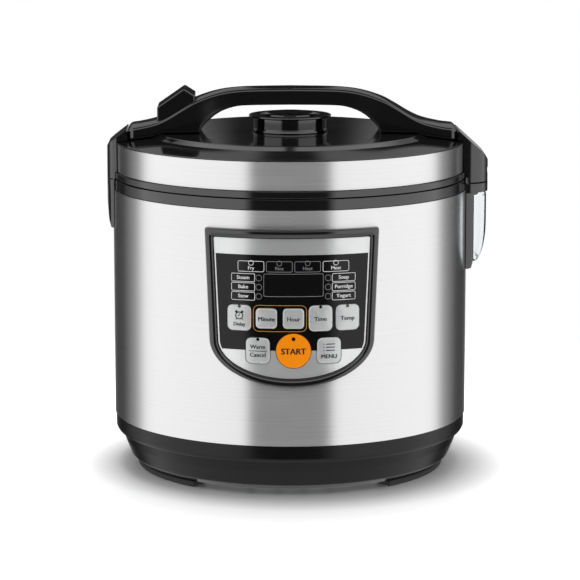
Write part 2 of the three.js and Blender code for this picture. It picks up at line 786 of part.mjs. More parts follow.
const VENT_LOW = LINER_TOP + GAP;
const VENT_TOP = 243.2;
const ventBody = turned([
  [8, VENT_LOW],
  [VENT_NECK_R, VENT_LOW],
  [VENT_NECK_R, LID_DISC_Z + GAP],
  [VENT_R, LID_DISC_Z + GAP],
  [VENT_R, VENT_TOP],
  [VENT_R - 2, VENT_TOP],
  [VENT_R - 2, LID_DISC_Z + 2.3],
  [VENT_NECK_R - 2, LID_DISC_Z + 2.3],
  [VENT_NECK_R - 2, VENT_LOW + 2],
  [8, VENT_LOW + 2],
], SMALL_FACETS);
add("vent_body", ventBody, BLACK_GLOSS);

const CAP_R = 28.7;
const DOME_R = 19.6;
const capProfile = [
  [0, VENT_TOP + GAP + 0.3],
  [VENT_R - 4, VENT_TOP + GAP + 0.3],
  [VENT_R - 4, VENT_TOP - 4],
  [VENT_R - 2 - GAP, VENT_TOP - 4],
  [VENT_R - 2 - GAP, VENT_TOP + GAP],
  [CAP_R, VENT_TOP + GAP],
  [CAP_R, VENT_TOP + 1.4],
  [CAP_R - 0.7, VENT_TOP + 2],
  [DOME_R, VENT_TOP + 2],
  [DOME_R - 1.5, VENT_TOP + 3],
  [0, VENT_TOP + 3.4],
];
const capSlots = [0, 120, 240].map((degrees) => {
  const [x, y] = onRing(16, degrees);
  return rodZ(2, x, y, VENT_TOP - 1, VENT_TOP + 6, 10);
});
add("vent_cap", cut(turned(capProfile, SMALL_FACETS), ...capSlots), BLACK_GLOSS);

const floatValve = turned([
  [0, 205],
  [5, 205],
  [5, VENT_LOW + 2.3],
  [12, VENT_LOW + 2.3],
  [12, VENT_LOW + 4],
  [3, VENT_LOW + 4],
  [3, 218],
  [0, 218],
], 24);
add("vent_float", floatValve, SILICONE);

// ---------------------------------------------------------------------------------------------
// Handle
// ---------------------------------------------------------------------------------------------

// The handle's upper line and the arch's underside, each from the middle out to the hinge side.
const HANDLE_UPPER = [
  [0, HANDLE_TOP],
  [30, 264],
  [50, 261.5],
  [57, 259.5],
  [66, 256],
  [74, 251.5],
  [84, 245.5],
  [92, 242],
  [104, 239],
];
const ARCH_UNDER = [
  [0, 252.5],
  [30, 252.1],
  [38, 251.3],
  [46, 248.9],
  [51.5, 245.9],
  [56, 242.2],
  [61, 237],
  [63, 232],
  [63, 220],
];

function flipped(points) {
  return points.map(([x, z]) => [-x, z]);
}

const HANDLE_CUT_Z = 220; // the legs are drawn down to here and then cut to sit on the lid
const handleSide = outline([
  [HANDLE_END_LATCH, HANDLE_CUT_Z],
  ...flipped(ARCH_UNDER).reverse(),
  ...ARCH_UNDER.slice(1),
  [HANDLE_END_HINGE, HANDLE_CUT_Z],
  [HANDLE_END_HINGE, 233.5],
  [112, 238],
  ...[...HANDLE_UPPER].reverse(),
  ...flipped(HANDLE_UPPER).slice(1),
  [-109, 238],
  [HANDLE_END_LATCH, 233.5],
]);

// Half width of the handle front to back: a slim grip that flares into the wings.
const GRIP_HALF = 12.5;
const WING_HALF = 21.5;
const handlePlan = new THREE.Shape();
handlePlan.moveTo(-118, -WING_HALF);
handlePlan.lineTo(-84, -WING_HALF);
handlePlan.bezierCurveTo(-66, -WING_HALF, -62, -GRIP_HALF, -42, -GRIP_HALF);
handlePlan.lineTo(42, -GRIP_HALF);
handlePlan.bezierCurveTo(62, -GRIP_HALF, 66, -WING_HALF, 84, -WING_HALF);
handlePlan.lineTo(120, -WING_HALF);
handlePlan.lineTo(120, WING_HALF);
handlePlan.lineTo(84, WING_HALF);
handlePlan.bezierCurveTo(66, WING_HALF, 62, GRIP_HALF, 42, GRIP_HALF);
handlePlan.lineTo(-42, GRIP_HALF);
handlePlan.bezierCurveTo(-62, GRIP_HALF, -66, WING_HALF, -84, WING_HALF);
handlePlan.lineTo(-118, WING_HALF);

const BUTTON_LEFT = -91.7;
const BUTTON_RIGHT = -65.7;
const BUTTON_HALF = 16.3;
const POCKET_FLOOR = 237;
const LINER_HALF_LENGTH = 34;
const LINER_HALF_WIDTH = 9;
const GRIP_LINER_TOP = 254.7;

function linerBlock(gap) {
  const length = LINER_HALF_LENGTH + gap;
  const width = LINER_HALF_WIDTH + gap;
  return block(-length, length, -width, width, 245, GRIP_LINER_TOP + gap);
}

const handle = cut(
  common(alongY(handleSide, -30, 30), alongZ(handlePlan, 200, 280, 5)),
  lidOutside,
  block(BUTTON_LEFT - GAP, BUTTON_RIGHT + GAP, -BUTTON_HALF - GAP, BUTTON_HALF + GAP, POCKET_FLOOR, 280),
  rodZ(2.6, STEM_X, 0, 230, 240),
  linerBlock(GAP),
  block(-30, 30, -8, 8, 254, 261), // the grip is hollow
  block(70, 86, -17, 17, 220, 241), // and so is the hinge-side wing
);
add("handle", handle, BLACK_GLOSS);

add("handle_liner", common(linerBlock(0), alongY(handleSide, -30, 30)), BLACK_SATIN);

// ---------------------------------------------------------------------------------------------
// Release button, hook and the lid's side housings
// ---------------------------------------------------------------------------------------------

const BUTTON_LOW = POCKET_FLOOR + 3.6;
const wedge = outline([
  [BUTTON_LEFT, BUTTON_LOW],
  [BUTTON_RIGHT, BUTTON_LOW],
  [BUTTON_RIGHT, 259.2],
  [-73.2, 264],
  [BUTTON_LEFT, 251.2],
]);
const releaseButton = join(
  cut(
    alongY(wedge, -BUTTON_HALF, BUTTON_HALF),
    block(BUTTON_LEFT + 2, BUTTON_RIGHT - 2, -BUTTON_HALF + 2, BUTTON_HALF - 2, BUTTON_LOW - 1, 247),
  ),
  rodZ(2, STEM_X, 0, 225.2, 248),
);
add("release_button", releaseButton, BLACK_GLOSS);
const buttonSpring = coil(STEM_X + 12, 0, 4, 0.5, POCKET_FLOOR + GAP, 247 - GAP, 5);
add("button_spring", buttonSpring, SPRING_STEEL);

const hookSide = outline([
  [-115.5, 192],
  [-113.6, 190.6],
  [STRIKER_X - GAP, 193],
  [STRIKER_X - GAP, 195],
  [-113, 195],
  [-113, 213.4],
  [-107, 221.4],
  [-86.5, 221.4],
  [-86.5, 224.6],
  [-109.5, 224.6],
  [-116.3, 217.5],
  [-115.5, 213],
]);
const HOOK_HALF = 5;
const hook = cut(
  alongY(hookSide, -HOOK_HALF, HOOK_HALF),
  rodY(BORE_R, CATCH_X, CATCH_Z, -HOOK_HALF - 1, HOOK_HALF + 1),
);
add("latch_hook", hook, BLACK_SATIN);
add("latch_pin", rodY(PIN_R, CATCH_X, CATCH_Z, -EAR_HALF[1], EAR_HALF[1]), SPRING_STEEL);

const latchShape = outline([
  [HANDLE_END_LATCH - GAP - 0.2, 215],
  [HANDLE_END_LATCH - GAP - 0.2, 236],
  [-125.6, 226.4],
  [-LATCH_REACH, 224],
  [-LATCH_REACH, LID_LOW],
  [-118, LID_LOW],
  [-118, 215],
]);
add("latch_cover", cut(housing(latchShape, -LATCH_REACH), lidOutside), BLACK_GLOSS);

const hingeShape = outline([
  [HANDLE_END_HINGE + GAP + 0.2, 215],
  [119, 215],
  [119, HINGE_LOW],
  [HINGE_REACH, HINGE_LOW],
  [HINGE_REACH, 212.5],
  [136, 217],
  [HANDLE_END_HINGE + GAP + 0.2, 235.4],
]);
const hingeCover = cut(
  housing(hingeShape, HINGE_REACH),
  lidOutside,
  disc(124.6, 190, LID_LOW),
  block(129.4, 140, -9.2, 9.2, HINGE_LOW - 1, 208.8), // room for the bracket's ears
  rodY(BORE_R, HINGE_X, HINGE_Z, -WEB_OUT - GAP, WEB_OUT + GAP),
);
add("hinge_cover", hingeCover, BLACK_GLOSS);

export default cooker;
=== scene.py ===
"""Looks for the yogurt maker: smooth skins over the CAD frame, procedural materials, a plain studio."""

import json
import math

import bmesh
import bpy
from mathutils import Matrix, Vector
from mathutils.geometry import delaunay_2d_cdt


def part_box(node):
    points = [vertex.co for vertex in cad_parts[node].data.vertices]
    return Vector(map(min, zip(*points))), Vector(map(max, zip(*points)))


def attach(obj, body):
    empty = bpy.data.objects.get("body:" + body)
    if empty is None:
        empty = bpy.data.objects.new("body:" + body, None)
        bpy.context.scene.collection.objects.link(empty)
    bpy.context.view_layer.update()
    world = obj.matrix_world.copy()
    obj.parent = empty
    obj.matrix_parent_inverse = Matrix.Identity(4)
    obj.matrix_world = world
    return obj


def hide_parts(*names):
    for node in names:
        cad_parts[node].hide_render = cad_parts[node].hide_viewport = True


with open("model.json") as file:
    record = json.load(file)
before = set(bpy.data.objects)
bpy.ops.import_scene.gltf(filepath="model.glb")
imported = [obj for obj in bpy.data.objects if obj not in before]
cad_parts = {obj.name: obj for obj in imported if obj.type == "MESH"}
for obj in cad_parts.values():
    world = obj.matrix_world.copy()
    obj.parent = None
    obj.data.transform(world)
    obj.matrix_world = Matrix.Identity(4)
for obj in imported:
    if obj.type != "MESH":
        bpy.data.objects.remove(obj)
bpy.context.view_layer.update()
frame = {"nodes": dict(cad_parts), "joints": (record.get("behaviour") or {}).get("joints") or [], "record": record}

MM = 0.001
GAP = 0.3 * MM
ROUND = 192  # segments of the large turned parts

BODY_OF = {node: body for body, nodes in frame["record"]["behaviour"]["bodies"].items() for node in nodes}


# ---- Places, read from the frame ----

def low(node):
    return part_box(node)[0]


def high(node):
    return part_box(node)[1]


def middle(node, axis):
    return (low(node)[axis] + high(node)[axis]) / 2


AXIS_X = middle("body_sleeve", 0)
SLEEVE_R = high("body_sleeve")[1]
SLEEVE_LOW = low("body_sleeve")[2]
SLEEVE_TOP = high("body_sleeve")[2]
COLLAR_R = high("top_collar")[1]
COLLAR_TOP = high("top_collar")[2]
LID_LOW = low("lid_rim")[2]
RIM_R = high("lid_rim")[1]
BAND_R = high("lid_band")[1]
BAND_LOW = low("lid_band")[2]
BAND_TOP = high("lid_band")[2]
COVER_R = high("lid_cover")[1]
DISC_Z = high("lid_cover")[2]
DISC_R = 90 * MM
SHOULDER_R = 97 * MM
SHOULDER_Z = DISC_Z - 2.5 * MM
SHOULDER_EDGE_Z = BAND_TOP + 1 * MM
PANEL_TOP = high("panel_bezel")[2]
PANEL_LOW = low("panel_bezel")[2]
PANEL_R = -low("panel_bezel")[1]
FACE_R = -low("panel_face")[1]
HOUSING_HALF = high("hinge_cover")[1]


# ---- Mesh helpers ----

def fillet(points, radius, steps=5, closed=True):
    """Rounds the corners of an outline. A point may carry its own radius as a third number."""
    count = len(points)
    out = []
    for i, point in enumerate(points):
        here = Vector(point[:2])
        size = point[2] if len(point) > 2 else radius
        if size <= 0 or (not closed and i in (0, count - 1)):
            out.append(here)
            continue
        before = Vector(points[i - 1][:2]) - here
        after = Vector(points[(i + 1) % count][:2]) - here
        turn = before.angle(after)
        if turn > math.radians(178):
            out.append(here)
            continue
        reach = min(size / math.tan(turn / 2), 0.45 * before.length, 0.45 * after.length)
        start = here + before.normalized() * reach
        end = here + after.normalized() * reach
        for step in range(steps + 1):
            t = step / steps
            out.append(start * (1 - t) ** 2 + here * (2 * t * (1 - t)) + end * t ** 2)
    return out


def object_from(name, verts, faces):
    """An object from points and faces, with doubled points merged and its faces turned outwards."""
    mesh = bpy.data.meshes.new(name)
    mesh.from_pydata([tuple(v) for v in verts], [], faces)
    work = bmesh.new()
    work.from_mesh(mesh)
    bmesh.ops.remove_doubles(work, verts=work.verts, dist=1e-6)
    bmesh.ops.recalc_face_normals(work, faces=work.faces)
    work.to_mesh(mesh)
    work.free()
    obj = bpy.data.objects.new(name, mesh)
    bpy.context.scene.collection.objects.link(obj)
    return obj


def shade(obj, angle=40):
    """Smooth shading, with edges sharper than the angle kept crisp."""
    limit = math.radians(angle)
    work = bmesh.new()
    work.from_mesh(obj.data)
    for face in work.faces:
        face.smooth = True
    for edge in work.edges:
        edge.smooth = len(edge.link_faces) == 2 and edge.calc_face_angle(0) < limit
    work.to_mesh(obj.data)
    work.free()
    weighted = obj.modifiers.new("normals", "WEIGHTED_NORMAL")
    weighted.keep_sharp = True


def apply_modifier(obj, modifier):
    """Replaces the object's mesh by the modifier's result."""
    bpy.context.view_layer.update()
    graph = bpy.context.evaluated_depsgraph_get()
    done = bpy.data.meshes.new_from_object(obj.evaluated_get(graph))
    obj.modifiers.remove(modifier)
    old = obj.data
    obj.data = done
    bpy.data.meshes.remove(old)


def combine(obj, tool, operation):
    """Boolean with a tool object, which is used up."""
    step = obj.modifiers.new("cut", "BOOLEAN")
    step.operation = operation
    step.solver = "EXACT"
    step.object = tool
    apply_modifier(obj, step)
    bpy.data.objects.remove(tool)


def bevel(obj, width, segments=3, angle=40):
    """Rounds the edges sharper than the angle."""
    step = obj.modifiers.new("bevel", "BEVEL")
    step.width = width
    step.segments = segments
    step.limit_method = "ANGLE"
    step.angle_limit = math.radians(angle)
    apply_modifier(obj, step)


def detail(obj, name, node, material, smooth=40):
    """Names a finished piece, gives it a material, and lets it ride with a node's body."""
    obj.name = name
    obj.data.materials.clear()
    obj.data.materials.append(material)
    if smooth:
        shade(obj, smooth)
    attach(obj, BODY_OF[node])


def skin(obj, node, material, smooth=40):
    """Finishes a piece that stands for a CAD node, which is hidden."""
    detail(obj, f"{node}_skin", node, material, smooth)
    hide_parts(node)


def lathe(name, profile, radius=0.4 * MM, segments=ROUND, steps=4, centre=(0, 0)):
    """Revolves a profile of (radius, z) about the body's axis. It closes on itself or ends on the axis."""
    on_axis = profile[0][0] == 0
    points = fillet(profile, radius, steps, closed=not on_axis)
    verts, faces = [], []
    for k in range(segments):
        turn = 2 * math.pi * k / segments
        for r, z in points:
            verts.append((AXIS_X + centre[0] + r * math.sin(turn), centre[1] - r * math.cos(turn), z))
    count = len(points)
    spans = count - 1 if on_axis else count
    for k in range(segments):
        here, there = k * count, (k + 1) % segments * count
        for i in range(spans):
            j = (i + 1) % count
            faces.append((here + i, there + i, there + j, here + j))
    obj = object_from(name, verts, faces)
    work = bmesh.new()
    work.from_mesh(obj.data)
    bmesh.ops.dissolve_degenerate(work, dist=1e-7, edges=work.edges)
    bmesh.ops.recalc_face_normals(work, faces=work.faces)
    work.to_mesh(obj.data)
    work.free()
    return obj


def loft(name, rings, capped=True):
    """A skin over rings of equal length, capped at both ends or else joined from the last to the first."""
    count = len(rings[0])
    faces = []
    for k in range(len(rings) - 1 if capped else len(rings)):
        here, there = k * count, (k + 1) % len(rings) * count
        for i in range(count):
            j = (i + 1) % count
            faces.append((here + i, here + j, there + j, there + i))
    if capped:
        last = (len(rings) - 1) * count
        faces += [tuple(range(count - 1, -1, -1)), tuple(range(last, last + count))]
    return object_from(name, [point for ring in rings for point in ring], faces)


def prism(name, outline, y0, y1):
    """An X-Z outline swept along Y."""
    return loft(name, [[(x, y, z) for x, z in outline] for y in (y0, y1)])


def slab(name, outline, z0, z1):
    """An X-Y outline swept along Z."""
    return loft(name, [[(x, y, z) for x, y in outline] for z in (z0, z1)])


def rod(name, radius, bottom, top, segments, centre=(0, 0)):
    """An upright cylinder about the body's axis, or centre away from it, as a cutting tool."""
    profile = [(0, bottom), (radius, bottom), (radius, top), (0, top)]
    return lathe(name, profile, 0, segments, 1, centre)


def rectangle(u0, v0, u1, v1):
    """The corners of a rectangle, anticlockwise."""
    return [(u0, v0), (u1, v0), (u1, v1), (u0, v1)]


def block(name, lo, hi):
    """A box between two corners, as a cutting tool."""
    return slab(name, rectangle(lo[0], lo[1], hi[0], hi[1]), lo[2], hi[2])


def node_block(name, node, below):
    """The box of a node and a gap all round it, reaching further down by a length, as a cutting tool."""
    lo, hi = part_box(node)
    return block(name, (lo[0] - GAP, lo[1] - GAP, lo[2] - below), (hi[0] + GAP, hi[1] + GAP, hi[2] + GAP))


def on_body(x, z, radius):
    """A panel point: x across the front from the axis, z up, on a cylinder of that radius."""
    return Vector((AXIS_X + x, -math.sqrt(radius ** 2 - x ** 2), z))


def inside(point, outline):
    """Whether a point lies within a closed outline."""
    x, y = point
    hit = False
    for (x0, y0), (x1, y1) in zip(outline, outline[1:] + outline[:1]):
        if (y0 > y) != (y1 > y) and x < (x1 - x0) * (y - y0) / (y1 - y0) + x0:
            hit = not hit
    return hit


def sheet(name, outer, holes, inner_r, outer_r, pitch=2.5 * MM):
    """A sheet with holes that follows the body's curve between two radii. Outlines are (x, z) lists."""
    loops = [[tuple(p) for p in loop] for loop in (outer, *holes)]
    points, edges = [], []
    for loop in loops:
        start = len(points)
        points += loop
        edges += [(start + i, start + (i + 1) % len(loop)) for i in range(len(loop))]
    xs = [x for x, _ in loops[0]]
    zs = [z for _, z in loops[0]]
    columns = max(1, round((max(xs) - min(xs)) / pitch))
    for k in range(1, columns):
        x = min(xs) + (max(xs) - min(xs)) * k / columns
        points += [(x, min(zs) - MM), (x, max(zs) + MM)]
        edges.append((len(points) - 2, len(points) - 1))
    flat, _, triangles, *_ = delaunay_2d_cdt([Vector(p) for p in points], edges, [], 0, 1e-7)
    kept = []
    for triangle in triangles:
        centre = sum((flat[i] for i in triangle), Vector((0, 0))) / len(triangle)
        if inside(centre, loops[0]) and not any(inside(centre, loop) for loop in loops[1:]):
            kept.append(tuple(triangle))
    count = len(flat)
    verts = [on_body(p.x, p.y, outer_r) for p in flat] + [on_body(p.x, p.y, inner_r) for p in flat]
    faces = kept + [tuple(count + i for i in reversed(t)) for t in kept]
    sides = {}  # the triangles' edges, in their order
    for a, b, c in kept:
        for edge in ((a, b), (b, c), (c, a)):
            sides[edge] = True
    faces += [(a, b, count + b, count + a) for a, b in sides if (b, a) not in sides]
    used = sorted({i for face in faces for i in face})
    place = {old: new for new, old in enumerate(used)}
    return object_from(name, [verts[i] for i in used], [tuple(place[i] for i in face) for face in faces])


def rounded_box(x, z, width, height, radius, steps=6):
    """A rectangle's outline with round corners, about a middle point."""
    half_w, half_h = width / 2, height / 2
    corners = rectangle(x - half_w, z - half_h, x + half_w, z + half_h)
    return [tuple(p) for p in fillet(corners, radius, steps)]


def circle(x, z, radius, count=32):
    """A circle's outline, anticlockwise."""
    return [(x + radius * math.cos(2 * math.pi * k / count), z + radius * math.sin(2 * math.pi * k / count))
            for k in range(count)]


def grow(outline, amount):
    """The outline moved outwards along its normals (anticlockwise outlines)."""
    out = []
    count = len(outline)
    for i in range(count):
        before = Vector(outline[i - 1])
        after = Vector(outline[(i + 1) % count])
        along = (after - before).normalized()
        out.append((outline[i][0] + along.y * amount, outline[i][1] - along.x * amount))
    return out


def join_objects(objects):
    """One object from several, by merging their meshes."""
    work = bmesh.new()
    for obj in objects:
        work.from_mesh(obj.data)
    mesh = bpy.data.meshes.new("joined")
    work.to_mesh(mesh)
    work.free()
    keep = objects[0]
    keep.data = mesh
    for obj in objects[1:]:
        bpy.data.objects.remove(obj)
    return keep


# ---- Materials ----

class Graph:
    """A node tree under construction, with short calls that add nodes and join them."""

    def __init__(self, tree):
        self.tree = tree

    def node(self, kind, **settings):
        node = self.tree.nodes.new(kind)
        for key, value in settings.items():
            setattr(node, key, value)
        return node

    def link(self, source, target):
        self.tree.links.new(source, target)

    def fill(self, socket, value):
        """Sets a socket to a number or colour, or links it to another socket."""
        if isinstance(value, (int, float, tuple)):
            socket.default_value = value
        else:
            self.link(value, socket)

    def math(self, operation, first, second=0.0):
        node = self.node("ShaderNodeMath", operation=operation)
        self.fill(node.inputs[0], first)
        self.fill(node.inputs[1], second)
        return node.outputs[0]

    def blend(self, share, first, second):
        """A colour between two colours."""
        node = self.node("ShaderNodeMix", data_type="RGBA")
        for name, value in (("Factor", share), ("A", first), ("B", second)):
            self.fill(node.inputs[name], value)
        return node.outputs["Result"]

    def axes(self, vector):
        """A vector's three parts."""
        split = self.node("ShaderNodeSeparateXYZ")
        self.link(vector, split.inputs[0])
        return split.outputs


class Paint(Graph):
    """A node material under construction: a Principled shader with helpers for procedural detail."""

    def __init__(self, name, color, roughness, metallic=0.0, **inputs):
        self.material = bpy.data.materials.new(name)
        self.material.use_nodes = True
        super().__init__(self.material.node_tree)
        self.bsdf = self.tree.nodes["Principled BSDF"]
        self.set("Base Color", (*color, 1))
        self.set("Roughness", roughness)
        self.set("Metallic", metallic)
        for key, value in inputs.items():
            self.set(key.replace("_", " "), value)
        self.material.diffuse_color = (*color, 1)

    def set(self, socket, value):
        self.bsdf.inputs[socket].default_value = value

    def place(self):
        """Object coordinates."""
        return self.node("ShaderNodeTexCoord").outputs["Object"]

    def around_axis(self, turns, rise, depth=40.0):
        """Coordinates that run round the body's axis: angle, height and radius, each with its own scale."""
        parts = self.axes(self.node("ShaderNodeTexCoord").outputs["Object"])
        x = self.math("SUBTRACT", parts["X"], AXIS_X)
        angle = self.math("ARCTAN2", x, parts["Y"])
        square = self.math("ADD", self.math("POWER", x, 2), self.math("POWER", parts["Y"], 2))
        radius = self.math("SQRT", square)
        joined = self.node("ShaderNodeCombineXYZ")
        for socket, value, scale in zip(joined.inputs, (angle, parts["Z"], radius), (turns, rise, depth)):
            self.link(self.math("MULTIPLY", value, scale), socket)
        return joined.outputs[0]

    def noise(self, vector, scale, detail=3.0, roughness=0.5):
        node = self.node("ShaderNodeTexNoise")
        node.inputs["Scale"].default_value = scale
        node.inputs["Detail"].default_value = detail
        node.inputs["Roughness"].default_value = roughness
        self.link(vector, node.inputs["Vector"])
        return node.outputs["Fac"]

    def cells(self, scale):
        """A random grey for each cell of a Voronoi pattern."""
        node = self.node("ShaderNodeTexVoronoi")
        node.inputs["Scale"].default_value = scale
        self.link(self.place(), node.inputs["Vector"])
        grey = self.node("ShaderNodeRGBToBW")
        self.link(node.outputs["Color"], grey.inputs[0])
        return grey.outputs[0]

    def spread(self, value, low_value, high_value, from_low=0.0, from_high=1.0):
        node = self.node("ShaderNodeMapRange")
        node.inputs["From Min"].default_value = from_low
        node.inputs["From Max"].default_value = from_high
        node.inputs["To Min"].default_value = low_value
        node.inputs["To Max"].default_value = high_value
        self.link(value, node.inputs["Value"])
        return node.outputs["Result"]

    def tint(self, value, first, second):
        """Colours the surface between two colours."""
        self.link(self.blend(value, (*first, 1), (*second, 1)), self.bsdf.inputs["Base Color"])

    def bump(self, value, distance, strength=1.0):
        node = self.node("ShaderNodeBump")
        node.inputs["Distance"].default_value = distance
        node.inputs["Strength"].default_value = strength
        self.link(value, node.inputs["Height"])
        self.link(node.outputs["Normal"], self.bsdf.inputs["Normal"])

    def rough(self, value):
        self.link(value, self.bsdf.inputs["Roughness"])


def moulded(name, color, roughness, spread=0.04, peel=0.02 * MM, shine=0.5):
    """Moulded plastic: a faint orange peel, and a little unevenness in colour and gloss."""
    paint = Paint(name, color, roughness, Specular_IOR_Level=shine)
    spots = paint.noise(paint.place(), 60, 3)
    paint.rough(paint.spread(spots, roughness - spread, roughness + spread, 0.3, 0.7))
    brighter = tuple(min(1.0, c * 1.12 + 0.0003) for c in color)
    paint.tint(paint.noise(paint.place(), 25, 2), color, brighter)
    paint.bump(paint.noise(paint.place(), 420, 2), peel, 0.35)
    return paint.material


def brushed_steel(name, color=(0.86, 0.86, 0.865), roughness=0.33):
    """Steel brushed round the body: long fine lines that spread reflections up and down."""
    paint = Paint(name, color, roughness, 1.0, Anisotropic=1.0)
    tangent = paint.node("ShaderNodeTangent", direction_type="RADIAL", axis="Z")
    paint.link(tangent.outputs[0], paint.bsdf.inputs["Tangent"])
    paint.set("Anisotropic Rotation", 0.25)
    fine = paint.noise(paint.around_axis(0.8, 3600.0), 1.0, 2, 0.6)
    coarse = paint.noise(paint.around_axis(0.4, 900.0), 1.0, 2, 0.5)
    lines = paint.math("ADD", paint.math("MULTIPLY", fine, 0.6), paint.math("MULTIPLY", coarse, 0.4))
    paint.rough(paint.spread(lines, roughness - 0.04, roughness + 0.05, 0.3, 0.7))
    paint.tint(paint.spread(lines, 0, 1, 0.35, 0.65), tuple(c * 0.9 for c in color), color)
    paint.bump(lines, 0.006 * MM, 0.3)
    return paint.material


def spun_metal(name, color, roughness):
    """Metal with the fine rings that spinning or turning leaves."""
    paint = Paint(name, color, roughness, 1.0)
    rings = paint.noise(paint.around_axis(0.6, 300.0, 1400.0), 1.0, 3, 0.6)
    paint.rough(paint.spread(rings, roughness - 0.08, roughness + 0.1, 0.3, 0.7))
    paint.tint(rings, tuple(c * 0.85 for c in color), color)
    paint.bump(rings, 0.02 * MM, 0.4)
    return paint.material


def galvanised(name):
    """Zinc-coated sheet with its patchwork of crystals."""
    paint = Paint(name, (0.45, 0.46, 0.47), 0.42, 0.9)
    crystals = paint.cells(110)
    paint.tint(crystals, (0.36, 0.37, 0.38), (0.56, 0.57, 0.58))
    paint.rough(paint.spread(crystals, 0.3, 0.55))
    return paint.material


def silver_lacquer(name, color, metallic, roughness):
    """Silver paint with fine metal flakes under a satin lacquer."""
    paint = Paint(name, color, roughness, metallic)
    flakes = paint.noise(paint.place(), 2600, 1)
    paint.tint(paint.spread(flakes, 0, 1, 0.35, 0.65), tuple(c * 0.93 for c in color), color)
    gloss = paint.noise(paint.place(), 90, 2)
    paint.rough(paint.spread(gloss, roughness - 0.04, roughness + 0.05, 0.3, 0.7))
    paint.bump(flakes, 0.004 * MM, 0.3)
    return paint.material


def clear_plastic(name, color=(0.93, 0.95, 0.96), roughness=0.02):
    """Clear moulded plastic, faintly uneven. Its low index keeps what is behind it in place."""
    paint = Paint(name, color, roughness, IOR=1.2, Transmission_Weight=1.0)
    paint.rough(paint.spread(paint.noise(paint.place(), 70, 2), roughness, roughness + 0.03, 0.3, 0.7))
    paint.bump(paint.noise(paint.place(), 60, 1), 0.004 * MM, 0.2)
    return paint.material


def soft(name, color, roughness, grain):
    """Rubber and silicone: matte with a fine grain."""
    paint = Paint(name, color, roughness)
    paint.bump(paint.noise(paint.place(), grain, 4), 0.05 * MM, 0.5)
    paint.tint(paint.noise(paint.place(), grain / 8, 3), tuple(c * 0.85 for c in color), color)
    patches = paint.noise(paint.place(), grain / 3, 2)
    paint.rough(paint.spread(patches, roughness - 0.1, min(1, roughness + 0.1)))
    return paint.material


def non_stick(name):
    """Dark non-stick coating with pale speckles."""
    paint = Paint(name, (0.05, 0.05, 0.055), 0.38, 0.2)
    speckle = paint.spread(paint.noise(paint.place(), 900, 1), 0, 1, 0.64, 0.7)
    paint.tint(speckle, (0.045, 0.045, 0.05), (0.3, 0.3, 0.31))
    paint.bump(paint.noise(paint.place(), 500, 3), 0.02 * MM, 0.4)
    return paint.material


def circuit_board(name):
    """Green solder mask with paler copper fields under it."""
    paint = Paint(name, (0.02, 0.13, 0.05), 0.4)
    copper = paint.cells(320)
    paint.tint(paint.spread(copper, 0, 1, 0.45, 0.55), (0.012, 0.09, 0.035), (0.03, 0.17, 0.07))
    paint.bump(copper, 0.03 * MM, 0.4)
    return paint.material


STEEL = brushed_steel("brushed_steel")
GLOSS = moulded("gloss_black", (0.0035, 0.0035, 0.004), 0.09, 0.02, 0.004 * MM, 1.0)
SATIN = moulded("satin_black", (0.0035, 0.0035, 0.004), 0.24, 0.04, 0.012 * MM, 0.3)
PRINT_BLACK = moulded("panel_black", (0.003, 0.003, 0.0035), 0.12, 0.03, 0.003 * MM, 0.3)
SILVER = silver_lacquer("silver_lacquer", (0.78, 0.785, 0.79), 0.6, 0.2)
KEY_SILVER = silver_lacquer("key_silver", (0.66, 0.665, 0.67), 0.4, 0.3)
ORANGE = moulded("orange_plastic", (0.90, 0.255, 0.001), 0.40, 0.04, 0.01 * MM, 0.15)
SMOKED = moulded("smoked_lens", (0.002, 0.002, 0.0025), 0.06, 0.02, 0.003 * MM, 0.8)
CLEAR = clear_plastic("clear_plastic")
ALUMINIUM = spun_metal("spun_aluminium", (0.72, 0.73, 0.74), 0.35)
WIRE_STEEL = spun_metal("spring_steel", (0.5, 0.51, 0.53), 0.25)
SCREW_STEEL = spun_metal("blackened_steel", (0.045, 0.045, 0.047), 0.4)
BRASS = spun_metal("plated_brass", (0.68, 0.48, 0.18), 0.3)
ZINC = galvanised("galvanised_sheet")
COATING = non_stick("non_stick_coating")
RUBBER = soft("foot_rubber", (0.022, 0.022, 0.023), 0.75, 700)
SILICONE = soft("silicone", (0.62, 0.62, 0.6), 0.5, 400)
LINER = moulded("pale_plastic", (0.6, 0.61, 0.58), 0.42, 0.05, 0.02 * MM)
WIRE = moulded("red_insulation", (0.35, 0.02, 0.02), 0.45, 0.05, 0.01 * MM)
BOARD = circuit_board("circuit_board")
WHITE_PRINT = moulded("white_print", (0.80, 0.80, 0.80), 0.5, 0.04, 0.002 * MM)
GREY_PRINT = moulded("grey_print", (0.20, 0.20, 0.205), 0.5, 0.04, 0.002 * MM)
DARK_PRINT = moulded("dark_print", (0.006, 0.006, 0.007), 0.6, 0.04, 0.002 * MM, 0.2)
ORANGE_PRINT = moulded("orange_print", (0.50, 0.20, 0.012), 0.5, 0.04, 0.002 * MM)


# ---- Body shell ----

PANEL_WAIST = PANEL_LOW + 31 * MM  # where the shield's straight sides meet its rounded foot
PANEL_TOP_HALF = 57.7 * MM
PANEL_WAIST_HALF = 54.8 * MM
PANEL_FOOT = PANEL_WAIST - PANEL_LOW
BORDER = 5.8 * MM


